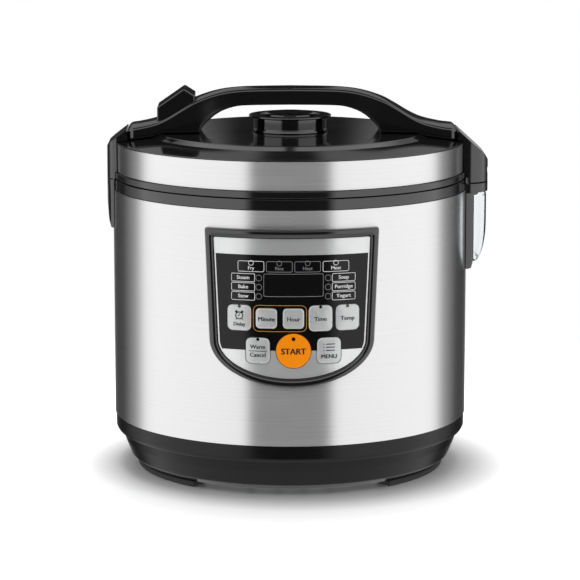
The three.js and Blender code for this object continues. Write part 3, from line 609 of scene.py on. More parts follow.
def shield(inset, foot_steps=40):
    """The panel's outline, anticlockwise: tapered sides, an elliptical foot and small top corners."""
    top = PANEL_TOP - inset
    half = PANEL_TOP_HALF - inset
    waist = PANEL_WAIST_HALF - inset
    depth = PANEL_FOOT - inset
    corner = max(3.4 * MM - inset / 3, 0.8 * MM)
    points = []
    for k in range(foot_steps + 1):
        turn = math.pi + math.pi * k / foot_steps
        points.append((waist * math.cos(turn), PANEL_WAIST + depth * math.sin(turn), 0))
    rise = 14
    shares = [k / rise for k in range(1, rise)]
    side = [(waist + (half - waist) * t, PANEL_WAIST + (top - PANEL_WAIST) * t, 0) for t in shares]
    points += side
    points.append((half, top, corner))
    points += [(half * (1 - 2 * t), top, 0) for t in shares]
    points.append((-half, top, corner))
    points += [(-x, z, 0) for x, z, _ in reversed(side)]
    return [tuple(p) for p in fillet(points, 0, 7)]


OPENING_HALF = 53.5 * MM  # of the sleeve's opening behind the panel
INLET_HALF = 14 * MM  # of its opening for the power inlet, across and up
INLET_RISE = 11 * MM


def sleeve_levels(turn):
    """The heights of the sleeve's rows at an angle from the front. The middle row spans the opening."""
    x = SLEEVE_R * math.sin(turn)
    mid_low = PANEL_WAIST
    if math.cos(turn) > 0 and abs(x) < OPENING_HALF:
        mid_low -= (PANEL_FOOT - 1.5 * MM) * math.sqrt(1 - (x / OPENING_HALF) ** 2)
    return [SLEEVE_LOW, mid_low, PANEL_TOP - 2 * MM, SLEEVE_TOP]


def make_sleeve():
    """The steel sleeve: a thin tube with an opening behind the panel and one at the power inlet."""
    edge = math.asin(OPENING_HALF / SLEEVE_R)
    front_columns, rear_columns = 48, 168
    turns = [-edge + 2 * edge * k / front_columns for k in range(front_columns)]
    turns += [edge + (2 * math.pi - 2 * edge) * k / rear_columns for k in range(rear_columns)]
    verts, faces = [], []
    for turn in turns:
        for radius in (SLEEVE_R, SLEEVE_R - 0.8 * MM):
            x, y = AXIS_X + radius * math.sin(turn), -radius * math.cos(turn)
            verts += [(x, y, z) for z in sleeve_levels(turn)]
    count = len(turns)
    for k in range(count):
        here, there = 8 * k, 8 * ((k + 1) % count)
        opened = k < front_columns
        for row in range(3):
            if opened and row == 1:
                continue
            faces.append((here + row, there + row, there + row + 1, here + row + 1))
            faces.append((here + row + 4, here + row + 5, there + row + 5, there + row + 4))
        faces.append((here, here + 4, there + 4, there))
        faces.append((here + 3, there + 3, there + 7, here + 7))
        if opened:
            faces.append((here + 1, there + 1, there + 5, here + 5))
            faces.append((here + 2, here + 6, there + 6, there + 2))
    for k in (0, front_columns):
        here = 8 * k
        faces.append((here + 1, here + 2, here + 6, here + 5))
    obj = object_from("sleeve", verts, faces)
    inlet_z = middle("power_inlet", 2)
    lo = (AXIS_X - INLET_HALF, SLEEVE_R - 8 * MM, inlet_z - INLET_RISE)
    hi = (AXIS_X + INLET_HALF, SLEEVE_R + 4 * MM, inlet_z + INLET_RISE)
    combine(obj, block("inlet_cut", lo, hi), "DIFFERENCE")
    skin(obj, "body_sleeve", STEEL, 30)


def make_collar():
    """The black ring on top of the sleeve, with the seat for the pot and a slot for the latch hook."""
    inner = SLEEVE_R - 3.5 * MM
    skirt = SLEEVE_R - 1.1 * MM
    seat_r = 110 * MM
    seat_z = COLLAR_TOP - 3.6 * MM
    deck = 106.2 * MM
    obj = lathe("collar", [
        (inner, low("top_collar")[2]),
        (skirt, low("top_collar")[2]),
        (skirt, SLEEVE_TOP + GAP),
        (COLLAR_R, SLEEVE_TOP + GAP),
        (COLLAR_R, COLLAR_TOP),
        (seat_r, COLLAR_TOP),
        (seat_r, seat_z),
        (deck, seat_z),
        (deck, seat_z - 3 * MM),
        (inner, seat_z - 3 * MM),
    ], 0.5 * MM)
    half = 7 * MM
    slot = block("slot", (AXIS_X - 119.3 * MM, -half, 190 * MM), (AXIS_X - 110.6 * MM, half, 204 * MM))
    combine(obj, slot, "DIFFERENCE")
    skin(obj, "top_collar", GLOSS)


FOOT_TOP = 3.9 * MM
BASE_SPREAD = 0.9 * MM  # how far the skirt stands out past the CAD ring


def make_base():
    """The black base: a ring under the sleeve, a step, and a bowl-shaped lower part down to the feet."""
    floor = low("base_ring")[2]
    top = high("base_ring")[2]
    outer = high("base_ring")[1] + BASE_SPREAD
    hole = 98 * MM
    bottom = FOOT_TOP + GAP
    step = floor + 18.7 * MM
    obj = lathe("base", [
        (hole, bottom),
        (107.2 * MM, bottom, 1.2 * MM),
        (112.0 * MM, bottom + 3.6 * MM, 3 * MM),
        (116.2 * MM, bottom + 14 * MM, 6 * MM),
        (117.8 * MM, step - 0.6 * MM, 0),
        (118.7 * MM, step, 0.3 * MM),
        (outer - 1.2 * MM, step + 0.5 * MM, 1.2 * MM),
        (outer, step + 2.8 * MM, 2.2 * MM),
        (outer, top),
        (outer - 3 * MM, top),
        (outer - 3 * MM, step + 2.5 * MM),
        (114 * MM, step + 2.5 * MM),
        (107.5 * MM, floor + 3.9 * MM),
        (hole, floor + 3.9 * MM),
    ], 0.4 * MM)
    skin(obj, "base_ring", SATIN)


def make_feet():
    """Four arcs with bevelled edges under the base."""
    inner, outer = 94 * MM, 107.4 * MM
    # degrees round from the front
    centres = {"foot_front_right": 61, "foot_rear_right": 119, "foot_rear_left": 241, "foot_front_left": 299}
    half = 22.8  # of each arc, in degrees
    for name, centre in centres.items():
        turns = [math.radians(centre - half + 2 * half * k / 24) for k in range(25)]
        outline = [(AXIS_X + outer * math.sin(t), -outer * math.cos(t)) for t in turns]
        outline += [(AXIS_X + inner * math.sin(t), -inner * math.cos(t)) for t in reversed(turns)]
        obj = slab(name, outline, low(name)[2], FOOT_TOP)
        bevel(obj, 0.8 * MM, 3, 50)
        skin(obj, name, RUBBER)


# ---- Control panel ----

LAYOUT_X = middle("display_window", 0) - AXIS_X
ROW_Z = middle("button_hour", 2)
LOWER_Z = middle("button_start", 2)
DISPLAY_Z = middle("display_window", 2)
KEY_R = -low("button_hour")[1]
PRINT_T = 0.12 * MM  # thickness of the black field
PRINT_R = FACE_R + 0.02 * MM + PRINT_T  # the field's surface


def make_bezel():
    """The raised frame: a rounded bar that follows the shield on the body's curve."""
    seat = SLEEVE_R + GAP
    rise = PANEL_R - seat
    # the bar's section: distance in from the outer edge, height above the sleeve
    section = [(0.0, 0.0), (0.15, 0.45), (0.5, 0.8), (1.1, 1.0), (2.2, 1.0), (3.6, 0.95), (4.9, 0.72),
               (5.5, 0.42), (5.8, 0.1), (5.8, -1.2), (4.6, -1.2), (4.6, 0.0)]
    rings = []
    for inset, height in section:
        radius = seat + height * rise
        rings.append([on_body(x, z, radius) for x, z in shield(inset * MM)])
    skin(loft("bezel", rings, capped=False), "panel_bezel", GLOSS, 50)


# Each key's outline, and its corner radius in millimetres.
BUTTONS = {
    "button_reservation": ("square", 4.2),
    "button_minute": ("square", 3.2),
    "button_hour": ("square", 3.2),
    "button_time": ("square", 4.2),
    "button_temp": ("square", 4.2),
    "button_warm_cancel": ("square", 4.2),
    "button_menu": ("square", 4.2),
    "button_start": ("round", 0),
}


def key_outline(name, margin):
    """A key's outline from its node's box, moved out by a margin."""
    lo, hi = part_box(name)
    x = (lo[0] + hi[0]) / 2 - AXIS_X
    z = (lo[2] + hi[2]) / 2
    kind, corner = BUTTONS[name]
    width = hi[0] - lo[0] + 2 * margin
    height = hi[2] - lo[2] + 2 * margin
    if kind == "round":
        return circle(x, z, height / 2, 64)
    return rounded_box(x, z, width, height, corner * MM + margin, 8)


def dome(name, outline, foot_r, top_r, edge, crown):
    """A pillow-shaped key on the body's curve: a rolled edge and a slightly raised middle."""
    centre = (sum(x for x, _ in outline) / len(outline), sum(z for _, z in outline) / len(outline))
    span = max(math.dist(centre, p) for p in outline)
    levels = [(0.0, foot_r)]
    for k in range(7):
        turn = math.pi / 2 * k / 6
        levels.append((edge * (1 - math.cos(turn)), top_r - crown - edge * 0.8 * (1 - math.sin(turn))))
    for share in (0.25, 0.5, 0.75, 0.93):
        levels.append((edge + (span - edge) * share, top_r - crown * (1 - share) ** 2))
    rings = []
    for inset, radius in levels:
        keep = max(0.02, 1 - inset / span)
        rings.append([on_body(centre[0] + (x - centre[0]) * keep, centre[1] + (z - centre[1]) * keep, radius)
                      for x, z in outline])
    return loft(name, rings)


KEY_FOOT_R = 122 * MM
KEY_EDGE = 1.1 * MM
KEY_CROWN = 0.25 * MM


def make_keys():
    for name in BUTTONS:
        look = ORANGE if name == "button_start" else KEY_SILVER
        key = dome(name, key_outline(name, 0), KEY_FOOT_R, KEY_R, KEY_EDGE, KEY_CROWN)
        skin(key, name, look, 60)


def between(outline, bottom, top):
    """The part of an outline that lies between two heights."""
    for level, above in ((bottom, True), (top, False)):
        kept = []
        for (x0, z0), (x1, z1) in zip(outline, outline[1:] + outline[:1]):
            starts_in, ends_in = (z0 > level) == above, (z1 > level) == above
            if starts_in:
                kept.append((x0, z0))
            if starts_in != ends_in:
                kept.append((x0 + (x1 - x0) * (level - z0) / (z1 - z0), level))
        outline = kept
    return outline


def display_outline(margin, corner):
    """The display's outline, moved out by a margin."""
    lo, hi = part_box("display_window")
    return rounded_box(LAYOUT_X, DISPLAY_Z, hi[0] - lo[0] + 2 * margin, hi[2] - lo[2] + 2 * margin, corner)


def make_panel_face():
    """The silver face with its holes, and the black field printed across its middle."""
    holes = [key_outline(name, 0.35 * MM) for name in BUTTONS]
    window = display_outline(0.25 * MM, 1 * MM)
    face = sheet("face", shield(BORDER + 0.3 * MM), [*holes, window], FACE_R - 2.5 * MM, FACE_R)
    skin(face, "panel_face", SILVER, 30)

    field = between(shield(BORDER + 1.2 * MM), LOWER_Z + 0.2 * MM, PANEL_TOP - 16.8 * MM)
    overlay = sheet("overlay", field, [*holes, window], PRINT_R - PRINT_T, PRINT_R)
    detail(overlay, "panel_overlay", "panel_face", PRINT_BLACK, 30)


def frame_line(outline, width, radius):
    """A thin printed line along a closed outline."""
    return sheet("line", grow(outline, width / 2), [grow(outline, -width / 2)], radius, radius + 0.06 * MM)


def words(text, x, z, height, radius, weight=0.05 * MM):
    """Flat lettering bent onto the panel, centred on x and z. Height is that of a capital.

    The letters are laid down three times, moved by the weight each way, which thickens their strokes.
    """
    curve = bpy.data.curves.new("words", "FONT")
    curve.body = text
    curve.size = height / 0.73
    curve.align_x = "CENTER"
    curve.align_y = "CENTER"
    curve.extrude = 0.03 * MM
    curve.resolution_u = 3
    holder = bpy.data.objects.new("words", curve)
    bpy.context.scene.collection.objects.link(holder)
    bpy.context.view_layer.update()
    mesh = bpy.data.meshes.new_from_object(holder.evaluated_get(bpy.context.evaluated_depsgraph_get()))
    bpy.data.objects.remove(holder)
    copies = []
    for layer, shift in enumerate((-weight, 0, weight)):
        copy = bpy.data.objects.new("words", mesh.copy())
        bpy.context.scene.collection.objects.link(copy)
        for vertex in copy.data.vertices:
            u, v, w = vertex.co
            vertex.co = on_body(x + u + shift, z + v, radius + (0.03 + 0.004 * layer) * MM + w)
        copies.append(copy)
    bpy.data.meshes.remove(mesh)
    return join_objects(copies)


TOP_PROGRAMS = ["Fry", "Rice", "Heat", "Meat"]
LEFT_PROGRAMS = ["Steam", "Bake", "Stew"]
RIGHT_PROGRAMS = ["Soup", "Porridge", "Yogurt"]


def make_program_print():
    """Printed boxes, indicator rings and program names around the display, some lit and some dull."""
    radius = PRINT_R
    bright, dull = [], []
    line = 0.34 * MM
    top_z = DISPLAY_Z + 12.3 * MM
    for k, text in enumerate(TOP_PROGRAMS):
        group = bright if k in (0, 3) else dull
        x = LAYOUT_X + (k - 1.5) * 18.6 * MM
        group.append(frame_line(rounded_box(x, top_z, 17 * MM, 6.9 * MM, 1.2 * MM), line, radius))
        group.append(frame_line(circle(x, top_z + 2.3 * MM, 1.6 * MM, 24), line, radius + 0.02 * MM))
        group.append(words(text, x, top_z - 1.2 * MM, 2.4 * MM, radius))
    for side, names in ((-1, LEFT_PROGRAMS), (1, RIGHT_PROGRAMS)):
        for row, text in enumerate(names):
            z = DISPLAY_Z + (4.7 - 6.15 * row) * MM
            x = LAYOUT_X + side * 33.1 * MM
            bright.append(frame_line(rounded_box(x, z, 15.2 * MM, 5.3 * MM, 0.9 * MM), line, radius))
            bright.append(words(text, x, z, 2.5 * MM, radius, 0.08 * MM))
            dull.append(frame_line(circle(LAYOUT_X + side * 22.8 * MM, z, 1.95 * MM, 24), line, radius))
    dull.append(frame_line(display_outline(0.45 * MM, 1.1 * MM), line, radius))
    detail(join_objects(bright), "program_print_bright", "panel_face", WHITE_PRINT, 0)
    detail(join_objects(dull), "program_print_dull", "panel_face", GREY_PRINT, 0)
    pair_mid = (middle("button_minute", 0) + middle("button_hour", 0)) / 2 - AXIS_X
    ring = frame_line(rounded_box(pair_mid, ROW_Z, 35 * MM, 17.4 * MM, 4 * MM), 0.4 * MM, radius)
    detail(ring, "pair_outline", "panel_face", ORANGE_PRINT, 0)


def make_display():
    window = sheet("window", display_outline(0, 0.8 * MM), [], FACE_R - 1.8 * MM, FACE_R)
    skin(window, "display_window", SMOKED, 30)


def patch(outline, radius):
    """A thin printed area on a key."""
    return sheet("patch", outline, [], radius, radius + 0.05 * MM)


def bar(x, z, width, height, radius):
    return patch(rounded_box(x, z, width, height, height * 0.3, 2), radius)


def clock_icon(x, z, size, radius):
    """A plain alarm clock: a ring, two hands, two bells and two feet."""
    parts = [frame_line(circle(x, z, size * 0.36, 28), size * 0.1, radius)]
    parts.append(bar(x, z + size * 0.1, size * 0.07, size * 0.26, radius))
    parts.append(bar(x - size * 0.08, z, size * 0.2, size * 0.07, radius))
    for side in (-1, 1):
        parts.append(patch(circle(x + side * size * 0.3, z + size * 0.4, size * 0.13, 16), radius))
        corners = ((0.24, 0.32), (0.30, 0.28), (0.38, 0.46), (0.31, 0.48))
        foot = [(x + side * size * out, z - size * down) for out, down in corners]
        parts.append(patch(foot[::side], radius))
    return parts


def list_icon(x, z, width, pitch, radius):
    """Three lines, each with a dot in front."""
    parts = []
    for row in (-1, 0, 1):
        level = z + row * pitch
        parts.append(bar(x + width * 0.12, level, width * 0.76, pitch * 0.28, radius))
        parts.append(patch(circle(x - width * 0.46, level, pitch * 0.16, 10), radius))
    return parts


def key_place(name):
    """A key's middle, across from the body's axis and up."""
    return middle(name, 0) - AXIS_X, middle(name, 2)


# The words on each key: text, height above the key's middle, height of a capital and the letters'
# weight, in millimetres.
KEY_WORDS = {
    "button_minute": [("Minute", -0.4, 2.9, 0.1)],
    "button_hour": [("Hour", -0.4, 2.9, 0.1)],
    "button_time": [("Time", -0.4, 2.9, 0.1)],
    "button_temp": [("Temp", -0.4, 2.9, 0.1)],
    "button_reservation": [("Delay", -4.2, 2.5, 0.08)],
    "button_warm_cancel": [("Warm", 2.6, 2.8, 0.1), ("Cancel", -2.8, 2.8, 0.1)],
    "button_menu": [("MENU", -3.9, 2.8, 0.1)],
    "button_start": [("START", -0.3, 4.1, 0.18)],
}


def key_icon(name, x, z, radius):
    """What is printed on a key besides its words."""
    if name == "button_reservation":
        return clock_icon(x, z + 1.6 * MM, 6.4 * MM, radius)
    if name == "button_warm_cancel":
        return [bar(x, z - 0.1 * MM, 11.6 * MM, 0.4 * MM, radius)]
    if name == "button_menu":
        return list_icon(x, z + 2.3 * MM, 7.6 * MM, 2.1 * MM, radius)
    return []


def make_key_print():
    """Function words and icons on the keys, and the indicator near each key's top edge."""
    radius = KEY_R + 0.01 * MM
    for name, lines in KEY_WORDS.items():
        x, z = key_place(name)
        parts = key_icon(name, x, z, radius)
        for text, rise, height, weight in lines:
            parts.append(words(text, x, z + rise * MM, height * MM, radius, weight * MM))
        detail(join_objects(parts), f"{name}_label", name, DARK_PRINT, 0)
    for name in ("button_reservation", "button_time", "button_temp", "button_warm_cancel", "button_start"):
        drop, size = (3.4 * MM, 1.25 * MM) if name == "button_start" else (0.9 * MM, 1.0 * MM)
        spot = circle(key_place(name)[0], high(name)[2] - drop, size, 20)
        dot = sheet("dot", spot, [], KEY_R - 0.8 * MM, radius + 0.04 * MM)
        detail(dot, f"{name}_indicator", name, SMOKED, 30)


# ---- Lid ----

def lid_height(radius):
    """Height of the lid's upper surface at a distance from the axis."""
    if radius <= DISC_R:
        return DISC_Z
    if radius <= SHOULDER_R:
        return DISC_Z + (SHOULDER_Z - DISC_Z) * (radius - DISC_R) / (SHOULDER_R - DISC_R)
    return SHOULDER_Z + (SHOULDER_EDGE_Z - SHOULDER_Z) * (radius - SHOULDER_R) / (COVER_R - SHOULDER_R)


def lid_envelope(gap):
    """The lid's outside grown by a gap, as a tool that trims what stands on it."""
    return lathe("envelope", [
        (0, 190 * MM),
        (COLLAR_R, 190 * MM),
        (COLLAR_R, BAND_LOW),
        (COVER_R + gap, BAND_LOW),
        (COVER_R + gap, SHOULDER_EDGE_Z + gap),
        (SHOULDER_R, SHOULDER_Z + gap),
        (DISC_R, DISC_Z + gap),
        (0, DISC_Z + gap),
    ], 0, 96)


LID_WALL = 2.5 * MM
RIM_WALL_R = BAND_R - 1.1 * MM  # outside of the rim's wall, behind the steel band
RIM_WALL_TOP = 222 * MM


def make_lid_rim():
    """The lid's lower ring, with a slot that the latch hook hangs through."""
    ledge = LID_LOW + LID_WALL
    rim_in = 112.5 * MM
    rim = lathe("rim", [
        (rim_in, LID_LOW),
        (RIM_R, LID_LOW),
        (RIM_R, BAND_LOW - GAP),
        (RIM_WALL_R, BAND_LOW - GAP),
        (RIM_WALL_R, RIM_WALL_TOP),
        (RIM_WALL_R - LID_WALL, RIM_WALL_TOP),
        (RIM_WALL_R - LID_WALL, ledge),
        (rim_in, ledge),
    ], 0.5 * MM)
    half = 6.6 * MM
    slot = block("slot", (AXIS_X - 119 * MM, -half, 201 * MM), (AXIS_X - 108 * MM, half, ledge + 0.1 * MM))
    combine(rim, slot, "DIFFERENCE")
    skin(rim, "lid_rim", GLOSS)


def make_lid_band():
    band = lathe("band", rectangle(BAND_R - 0.8 * MM, BAND_LOW, BAND_R, BAND_TOP), 0.15 * MM)
    skin(band, "lid_band", STEEL, 30)


def make_lid_cover():
    """The black top: an edge over the steel band, a sloping shoulder, a flat disc and the vent's hole."""
    hole = 22.2 * MM
    cover_in = 117 * MM
    cover_low = RIM_WALL_TOP + 0.4 * MM
    cover = lathe("cover", [
        (cover_in, cover_low),
        (RIM_WALL_R - GAP, cover_low),
        (RIM_WALL_R - GAP, BAND_TOP + GAP),
        (COVER_R, BAND_TOP + GAP, 0.2 * MM),
        (COVER_R, SHOULDER_EDGE_Z, 0.5 * MM),
        (SHOULDER_R, SHOULDER_Z, 1.2 * MM),
        (DISC_R + 2.4 * MM, DISC_Z - 0.5 * MM, 0.8 * MM),
        (DISC_R + 1.8 * MM, DISC_Z, 0.5 * MM),
        (hole, DISC_Z, 0.3 * MM),
        (hole, DISC_Z - LID_WALL),
        (DISC_R - 0.9 * MM, DISC_Z - LID_WALL),
        (SHOULDER_R - 1 * MM, SHOULDER_Z - LID_WALL),
        (cover_in, cover_low + 3 * MM),
    ], 0.4 * MM)
    skin(cover, "lid_cover", GLOSS)


def make_pot():
    """The inner pot: a pressed bowl with a rolled rim."""
    pot_low, pot_rim = low("inner_pot")[2], high("inner_pot")[2]
    pot_r, rim_r = 102 * MM, high("inner_pot")[1]
    wall = 1.8 * MM
    floor = pot_low + 2 * MM
    flat = 70 * MM
    pot = lathe("pot", [
        (0, pot_low),
        (flat, pot_low, 6 * MM),
        (92 * MM, pot_low + 3.4 * MM, 16 * MM),
        (101 * MM, 70 * MM, 16 * MM),
        (pot_r, 80 * MM, 8 * MM),
        (pot_r, pot_rim - wall, 0.6 * MM),
        (rim_r, pot_rim - wall, 0.7 * MM),
        (rim_r, pot_rim, 0.7 * MM),
        (pot_r - wall, pot_rim, 2 * MM),
        (pot_r - wall, 80.3 * MM, 8 * MM),
        (99.3 * MM, 71 * MM, 14 * MM),
        (91 * MM, floor + 3.3 * MM, 14 * MM),
        (flat, floor, 6 * MM),
        (0, floor),
    ], 0.4 * MM, 128)
    skin(pot, "inner_pot", COATING)


def make_gasket():
    """The seal under the lid, with a lip that bears on the pot's rim."""
    gasket_low, gasket_top = low("lid_gasket")[2], high("lid_gasket")[2]
    inner, outer = 104.4 * MM, 109.4 * MM
    gasket = lathe("gasket", [
        (inner + 1.1 * MM, gasket_low),
        (outer - 1 * MM, gasket_low),
        (outer, gasket_low + 1.2 * MM),
        (outer, gasket_top),
        (inner, gasket_top),
        (inner, gasket_low + 1.6 * MM),
    ], 0.4 * MM, 128)
    skin(gasket, "lid_gasket", SILICONE)


VENT_NECK = 21.8 * MM
VENT_CUP = 25.2 * MM


def make_vent_body():
    """The steam vent: a neck through the lid and a cup that stands on it."""
    neck, cup = VENT_NECK, VENT_CUP
    vent_low, vent_top = low("vent_body")[2], high("vent_body")[2]
    seat = DISC_Z + GAP
    wall = 2 * MM
    throat = 8 * MM
    body = lathe("vent", [
        (throat, vent_low),
        (neck, vent_low),
        (neck, seat, 0.1 * MM),
        (cup + 1.2 * MM, seat, 0.3 * MM),
        (cup + 0.6 * MM, seat + 1.4 * MM, 0.8 * MM),
        (cup, seat + 2.2 * MM, 0.6 * MM),
        (cup, vent_top),
        (cup - wall, vent_top),
        (cup - wall, seat + wall),
        (neck - wall, seat + wall),
        (neck - wall, vent_low + wall),
        (throat, vent_low + wall),
    ], 0.3 * MM, 96)
    skin(body, "vent_body", GLOSS)


def make_vent_cap():
    """The vent's turning cap: a stepped disc with a skirt inside the cup and three steam holes."""
    cup = VENT_CUP
    vent_top = high("vent_body")[2]
    cap_r = high("vent_cap")[1]
    top = high("vent_cap")[2]
    plate = vent_top + GAP
    cap = lathe("cap", [
        (0, plate + 0.3 * MM),
        (cup - 4 * MM, plate + 0.3 * MM),
        (cup - 4 * MM, vent_top - 4 * MM),
        (cup - 2.3 * MM, vent_top - 4 * MM),
        (cup - 2.3 * MM, plate),
        (cap_r - 0.4 * MM, plate),
        (cap_r, plate + 0.6 * MM, 0.5 * MM),
        (cap_r - 0.5 * MM, vent_top + 1.7 * MM, 0.5 * MM),
        (20.6 * MM, vent_top + 1.9 * MM, 0.3 * MM),
        (20.2 * MM, vent_top + 1.1 * MM, 0.3 * MM),
        (19.6 * MM, vent_top + 1.1 * MM, 0.3 * MM),
        (19.2 * MM, vent_top + 2.6 * MM, 0.5 * MM),
        (16 * MM, top - 0.25 * MM, 2 * MM),
        (0, top),
    ], 0.25 * MM, 96)
    hole_ring = 14 * MM
    for turn in (0, 120, 240):
        centre = (hole_ring * math.sin(math.radians(turn)), -hole_ring * math.cos(math.radians(turn)))
        combine(cap, rod("hole", 1.6 * MM, vent_top - MM, top + MM, 20, centre), "DIFFERENCE")
    skin(cap, "vent_cap", GLOSS)


# ---- Handle, release button and the side housings ----

HANDLE_LEFT = low("handle")[0] - AXIS_X
HANDLE_RIGHT = high("handle")[0] - AXIS_X
HANDLE_TOP = high("handle")[2]
# Distance out from the middle and drop below the handle's top, in millimetres.
UPPER_LINE = [(0, 0), (30, 0.5), (42, 1.5), (50, 3), (57, 5), (66, 8.5), (74, 13), (84, 19), (92, 22.6),
              (104, 25.5), (111, 26.4)]
UNDER_LINE = [(0, 12), (30, 12.4), (38, 13.2), (46, 15.6), (51.5, 18.6), (56, 22.3), (60, 26.4), (62.6, 31),
              (63.4, 34)]
# Distance out from the middle and half width.
PLAN_LINE = [(0, 12.5), (36, 12.7), (46, 14.2), (68, 18.8), (84, 21), (98, 21.4), (116, 21.4)]


def along(line, x):
    """Smooth value of a line of points at x: a monotone cubic through them."""
    if x >= line[-1][0]:
        return line[-1][1]
    k = max(i for i in range(len(line) - 1) if line[i][0] <= x)

    def slope(i):
        lower, upper = max(0, i - 1), min(len(line) - 1, i + 1)
        return (line[upper][1] - line[lower][1]) / (line[upper][0] - line[lower][0])

    (x0, y0), (x1, y1) = line[k], line[k + 1]
    span = x1 - x0
    t = (x - x0) / span
    h00, h10 = 2 * t ** 3 - 3 * t ** 2 + 1, t ** 3 - 2 * t ** 2 + t
    h01, h11 = -2 * t ** 3 + 3 * t ** 2, t ** 3 - t ** 2
    return h00 * y0 + h10 * span * slope(k) + h01 * y1 + h11 * span * slope(k + 1)


END_ROUND = 6 * MM  # corner radius of the wings' ends in plan
END_DROP = 3.5 * MM  # and of their upper edge


def corner_share(share):
    """How much of its radius a rounded corner takes away at a share of the radius from the end."""
    return 1 - math.sqrt(max(0, 1 - (1 - share) ** 2)) if share < 1 else 0


def handle_section(x, end):
    """The handle's cross-section at x as (y, z) points, anticlockwise. End is the wing's end on that side."""
    out = abs(x) / MM
    half = along(PLAN_LINE, out) * MM
    top = HANDLE_TOP - along(UPPER_LINE, out) * MM
    left = abs(end) - abs(x)
    half -= END_ROUND * corner_share(left / END_ROUND)
    top -= END_DROP * corner_share(left / END_DROP)
    under = HANDLE_TOP - along(UNDER_LINE, out) * MM if out < UNDER_LINE[-1][0] else 0

    def floor(y):
        return max(under, lid_height(math.hypot(x, y)) + GAP)

    soft_edge = 2.6 * MM
    low_edge = min(1.6 * MM, 0.3 * (top - floor(half)))
    crown = 0.5 * MM
    bottom = floor(half)
    points = []
    for k in range(13):
        y = (half - low_edge) * (2 * k / 12 - 1)
        points.append((y, floor(y)))
    for k in range(1, 5):
        turn = math.pi / 2 * k / 4
        points.append((half - low_edge * (1 - math.sin(turn)), bottom + low_edge * (1 - math.cos(turn))))
    base, shoulder = bottom + low_edge, top - soft_edge - crown
    for k in range(1, 5):
        points.append((half, base + (shoulder - base) * k / 4))
    for k in range(1, 7):
        turn = math.pi / 2 * k / 6
        points.append((half - soft_edge * (1 - math.cos(turn)), shoulder + soft_edge * math.sin(turn)))
    for k in range(1, 12):
        y = (half - soft_edge) * (1 - 2 * k / 12)
        points.append((y, top - crown * (y / (half - soft_edge)) ** 2))
    right = points[13:27]
    points += [(-y, z) for y, z in reversed(right)]
    return points


STEM_X = AXIS_X - 88.5 * MM  # the release button's stem
STEM_R = 2 * MM


def make_handle():
    """The arch and its wings, lofted across the lid, with a pocket for the release button."""
    stations = []
    x = HANDLE_LEFT
    while x < HANDLE_RIGHT:
        stations.append(x)
        out = abs(x) / MM
        near_end = min(x - HANDLE_LEFT, HANDLE_RIGHT - x) < 4.5 * MM
        x += (0.4 if near_end else 0.7 if 48 < out < 66 else 1.6) * MM
    stations.append(HANDLE_RIGHT)
    rings = []
    for x in stations:
        section = handle_section(x, HANDLE_LEFT if x < 0 else HANDLE_RIGHT)
        rings.append([(AXIS_X + x, y, z) for y, z in section])
    handle = loft("handle_loft", rings)

    lo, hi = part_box("release_button")
    pocket = fillet(rectangle(lo[0] - GAP, lo[1] - GAP, hi[0] + GAP, hi[1] + GAP), 1.6 * MM)
    combine(handle, slab("pocket", pocket, low("button_spring")[2] - GAP, HANDLE_TOP + 15 * MM), "DIFFERENCE")
    stem_hole = slab("stem_hole", circle(STEM_X, 0, STEM_R + 0.6 * MM, 24), 225 * MM, 240 * MM)
    combine(handle, stem_hole, "DIFFERENCE")
    combine(handle, node_block("recess", "handle_liner", 4 * MM), "DIFFERENCE")
    skin(handle, "handle", GLOSS, 35)


def make_release_button():
    """The wedge-shaped button on the latch side's wing: hollow below, with a stem that presses the hook."""
    lo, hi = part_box("release_button")
    left, right = lo[0], hi[0]
    foot = high("button_spring")[2] - 6.1 * MM
    wall = 2 * MM
    roof = 247 * MM
    peak = hi[2]
    side = fillet([
        (left, foot, 0),
        (right, foot, 0),
        (right, peak - 4.8 * MM, 1.2 * MM),
        (left + 18.5 * MM, peak, 1.6 * MM),
        (left, peak - 12.8 * MM, 1.4 * MM),
    ], 0.5 * MM, 6)
    wedge = prism("wedge", side, lo[1], hi[1])
    bevel(wedge, 1.0 * MM, 4, 50)
    hollow = block("hollow", (left + wall, lo[1] + wall, foot - MM), (right - wall, hi[1] - wall, roof))
    combine(wedge, hollow, "DIFFERENCE")
    combine(wedge, slab("stem", circle(STEM_X, 0, STEM_R, 24), lo[2], roof + MM), "UNION")
    skin(wedge, "release_button", GLOSS, 35)


HOUSING_ROOT = 118 * MM  # where the side housings start, from the axis
COVER_INSIDE = 215 * MM  # height inside the lid down to which the upper housings reach
PLAN_POWER = 2.6  # 2 would end the housings in an ellipse in plan, and more is squarer
PIVOT = next(joint for joint in frame["joints"] if joint["name"] == "lid_hinge")["pos_m"]


def plan_block(reach):
    """A tall block whose outer end is half a superellipse in plan. Reach is signed, from the axis."""
    side = math.copysign(1, reach)
    half = HOUSING_HALF
    length = abs(reach) - HOUSING_ROOT
    steps = 16
    inner_x = AXIS_X + side * 100 * MM
    plan = [(inner_x, half), (inner_x, -half)]
    for k in range(-steps, steps + 1):
        turn = math.pi / 2 * k / steps
        across = math.copysign(half * abs(math.sin(turn)) ** (2 / PLAN_POWER), k)
        out = length * max(0, math.cos(turn)) ** (2 / PLAN_POWER)
        plan.append((AXIS_X + side * (HOUSING_ROOT + out), across))
    return slab("plan", plan, 130 * MM, 250 * MM)


def housing(side, reach, soft_edge, *cuts):
    """A side outline swept across the body, ended by the plan's curve, softened, and trimmed by the cuts."""
    obj = prism("housing", [tuple(p) for p in fillet(side, 0)], -HOUSING_HALF - MM, HOUSING_HALF + MM)
    combine(obj, plan_block(reach), "INTERSECT")
    bevel(obj, soft_edge, 3, 38)
    for tool in cuts:
        combine(obj, tool, "DIFFERENCE")
    return obj


